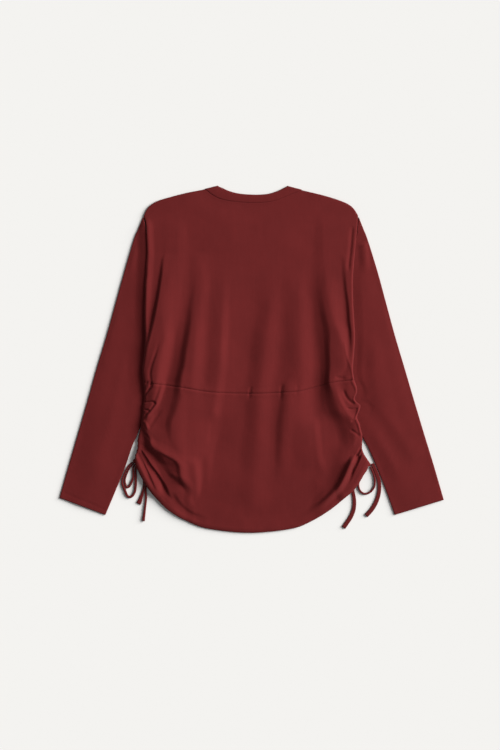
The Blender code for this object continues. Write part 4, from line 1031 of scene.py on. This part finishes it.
def sleeve_rise(places, over, lines, height, flank, low_height, low_flank, outer_start):
    """How much the upper layer stands above the pressed height."""
    x, y = places[..., 0], places[..., 1]
    along = np.linspace(0, 1, len(places))[:, None]

    def reach(line):
        line = np.array(sorted(line, key=lambda point: point[1]), float)
        return np.interp(y, line[:, 1], np.abs(line[:, 0]))

    outside, covered = reach(lines[0]), np.maximum(reach(lines[1]), reach(lines[2]))
    share = np.clip((np.abs(x) - covered) / (outside - covered + 0.01), 0, 1)
    by_body = smoothstep(y, *BESIDE_BODY)
    height = low_height + (height - low_height) * by_body
    flank = low_flank + (flank - low_flank) * by_body
    dome = height * smoothstep((np.abs(x) - covered) / flank, 0, 1)
    dome = dome * (1 - smoothstep(share, outer_start, 1)) * (1 - smoothstep(y, *HEAD_FLATTENS))
    dome = dome * (0.35 + 0.65 * smoothstep(along, *CUFF_FLATTENS)) * (1 - 0.5 * smoothstep(y, 0, 60))
    folds = folds_rise(x, y, SLEEVE_FOLDS) + waves(x, y, SLEEVE_WAVES)
    from_edge = np.minimum(over, 1 - over)[None] * SLEEVE_WIDTH
    stitched = 0.405 * bell(along * SLEEVE_LENGTH, STITCHES, 2.8)
    inside = smoothstep(from_edge, 0, 12)
    rise = np.maximum(dome + folds * inside, 0) - stitched * inside + 0.1 * smoothstep(from_edge, 0, 3)
    return rise + left_edge_rise(x, y) * smoothstep(from_edge, 0, 6) if x.mean() < 0 else rise


def neckband(material):
    """A flat ring of doubled jersey, folded at the shoulders, a little crowned across."""
    upper, lower = OVER_FRONT + CLOTH / 2, CLOTH / 2
    back = (smooth_line(BACK_OPENING, 110), smooth_line(BACK_NECK_SEAM, 110))
    front = (smooth_line(FRONT_OPENING, 120), smooth_line(FRONT_NECK_SEAM, 120))
    turn = (0, (upper - lower) / 2)
    rings = []

    def add(opening, seam, height, push=(0, 0), crown=0.0):
        for a, b in zip(opening, seam):
            rings.append([(*((a + (b - a) * share + push) * MM),
                           (height + crown * math.sin(math.pi * share)) * MM)
                          for share in np.linspace(0, 1, 9)])

    add(*back, upper, crown=BAND_CROWN)
    add(back[0][-1:], back[1][-1:], (upper + lower) / 2, turn)
    add(front[0][::-1], front[1][::-1], lower)
    add(back[0][:1], back[1][:1], (upper + lower) / 2, turn)
    bm = bmesh.new()
    skin(bm, rings, closed=False, joined_ends=True)
    return thicken(skin_object(bm, "neckband_cloth", material), CLOTH, 0)


# ==== the scene
def main():
    scene = bpy.context.scene
    scene.view_settings.view_transform = "Standard"
    camera()
    garment, stage = bpy.data.collections.new("garment"), bpy.data.collections.new("stage")
    stage.objects.link(floor())
    lights(garment, stage)

    cloth = jersey("burgundy_jersey", BURGUNDY)
    left_cloth = jersey("burgundy_jersey_left", BURGUNDY, grain_angle=-16)
    right_cloth = jersey("burgundy_jersey_right", BURGUNDY, grain_angle=16)
    band = jersey("neckband_jersey", BURGUNDY)
    strap_cloth = jersey("drawcord_jersey", [c * 0.92 for c in BURGUNDY], depth=0.8)

    knots = {name: knot(name, *shape, strap_cloth) for name, shape in KNOTS.items()}
    drawcords(strap_cloth)

    pieces = [
        # piece, node, slot, flat size, flat area, what it lies on
        (front_body(cloth), "front_body", "body_jersey", (0.448, 0.673), 0.236, ["floor"]),
        (sleeve("sleeve_left", LEFT_OUTER, LEFT_INNER, LEFT_ARMHOLE, LEFT_SIDE + LEFT_LOWER_SIDE,
                left_cloth), "sleeve_left", "body_jersey", (0.221, 0.585), 0.115, ["floor"]),
        (sleeve("sleeve_right", RIGHT_OUTER, RIGHT_INNER, RIGHT_ARMHOLE, RIGHT_SIDE + RIGHT_LOWER_SIDE,
                right_cloth), "sleeve_right", "body_jersey", (0.225, 0.588), 0.117, ["floor"]),
        (back_upper(cloth), "back_upper", "body_jersey", (0.44, 0.408), 0.162,
         ["front_body", "sleeve_left"]),
        (back_lower(cloth), "back_lower", "body_jersey", (0.47, 0.40), 0.140,
         ["front_body", "sleeve_right"]),
        (neckband(band), "neckband", "neckband_jersey", (0.48, 0.017), None, ["front_body"]),
    ]
    for piece, node, slot, flat, area, below in pieces:
        stands_for(piece, node)
    for obj in scene.objects:
        if obj.type == "MESH" and obj.name != "floor":
            garment.objects.link(obj)


main()
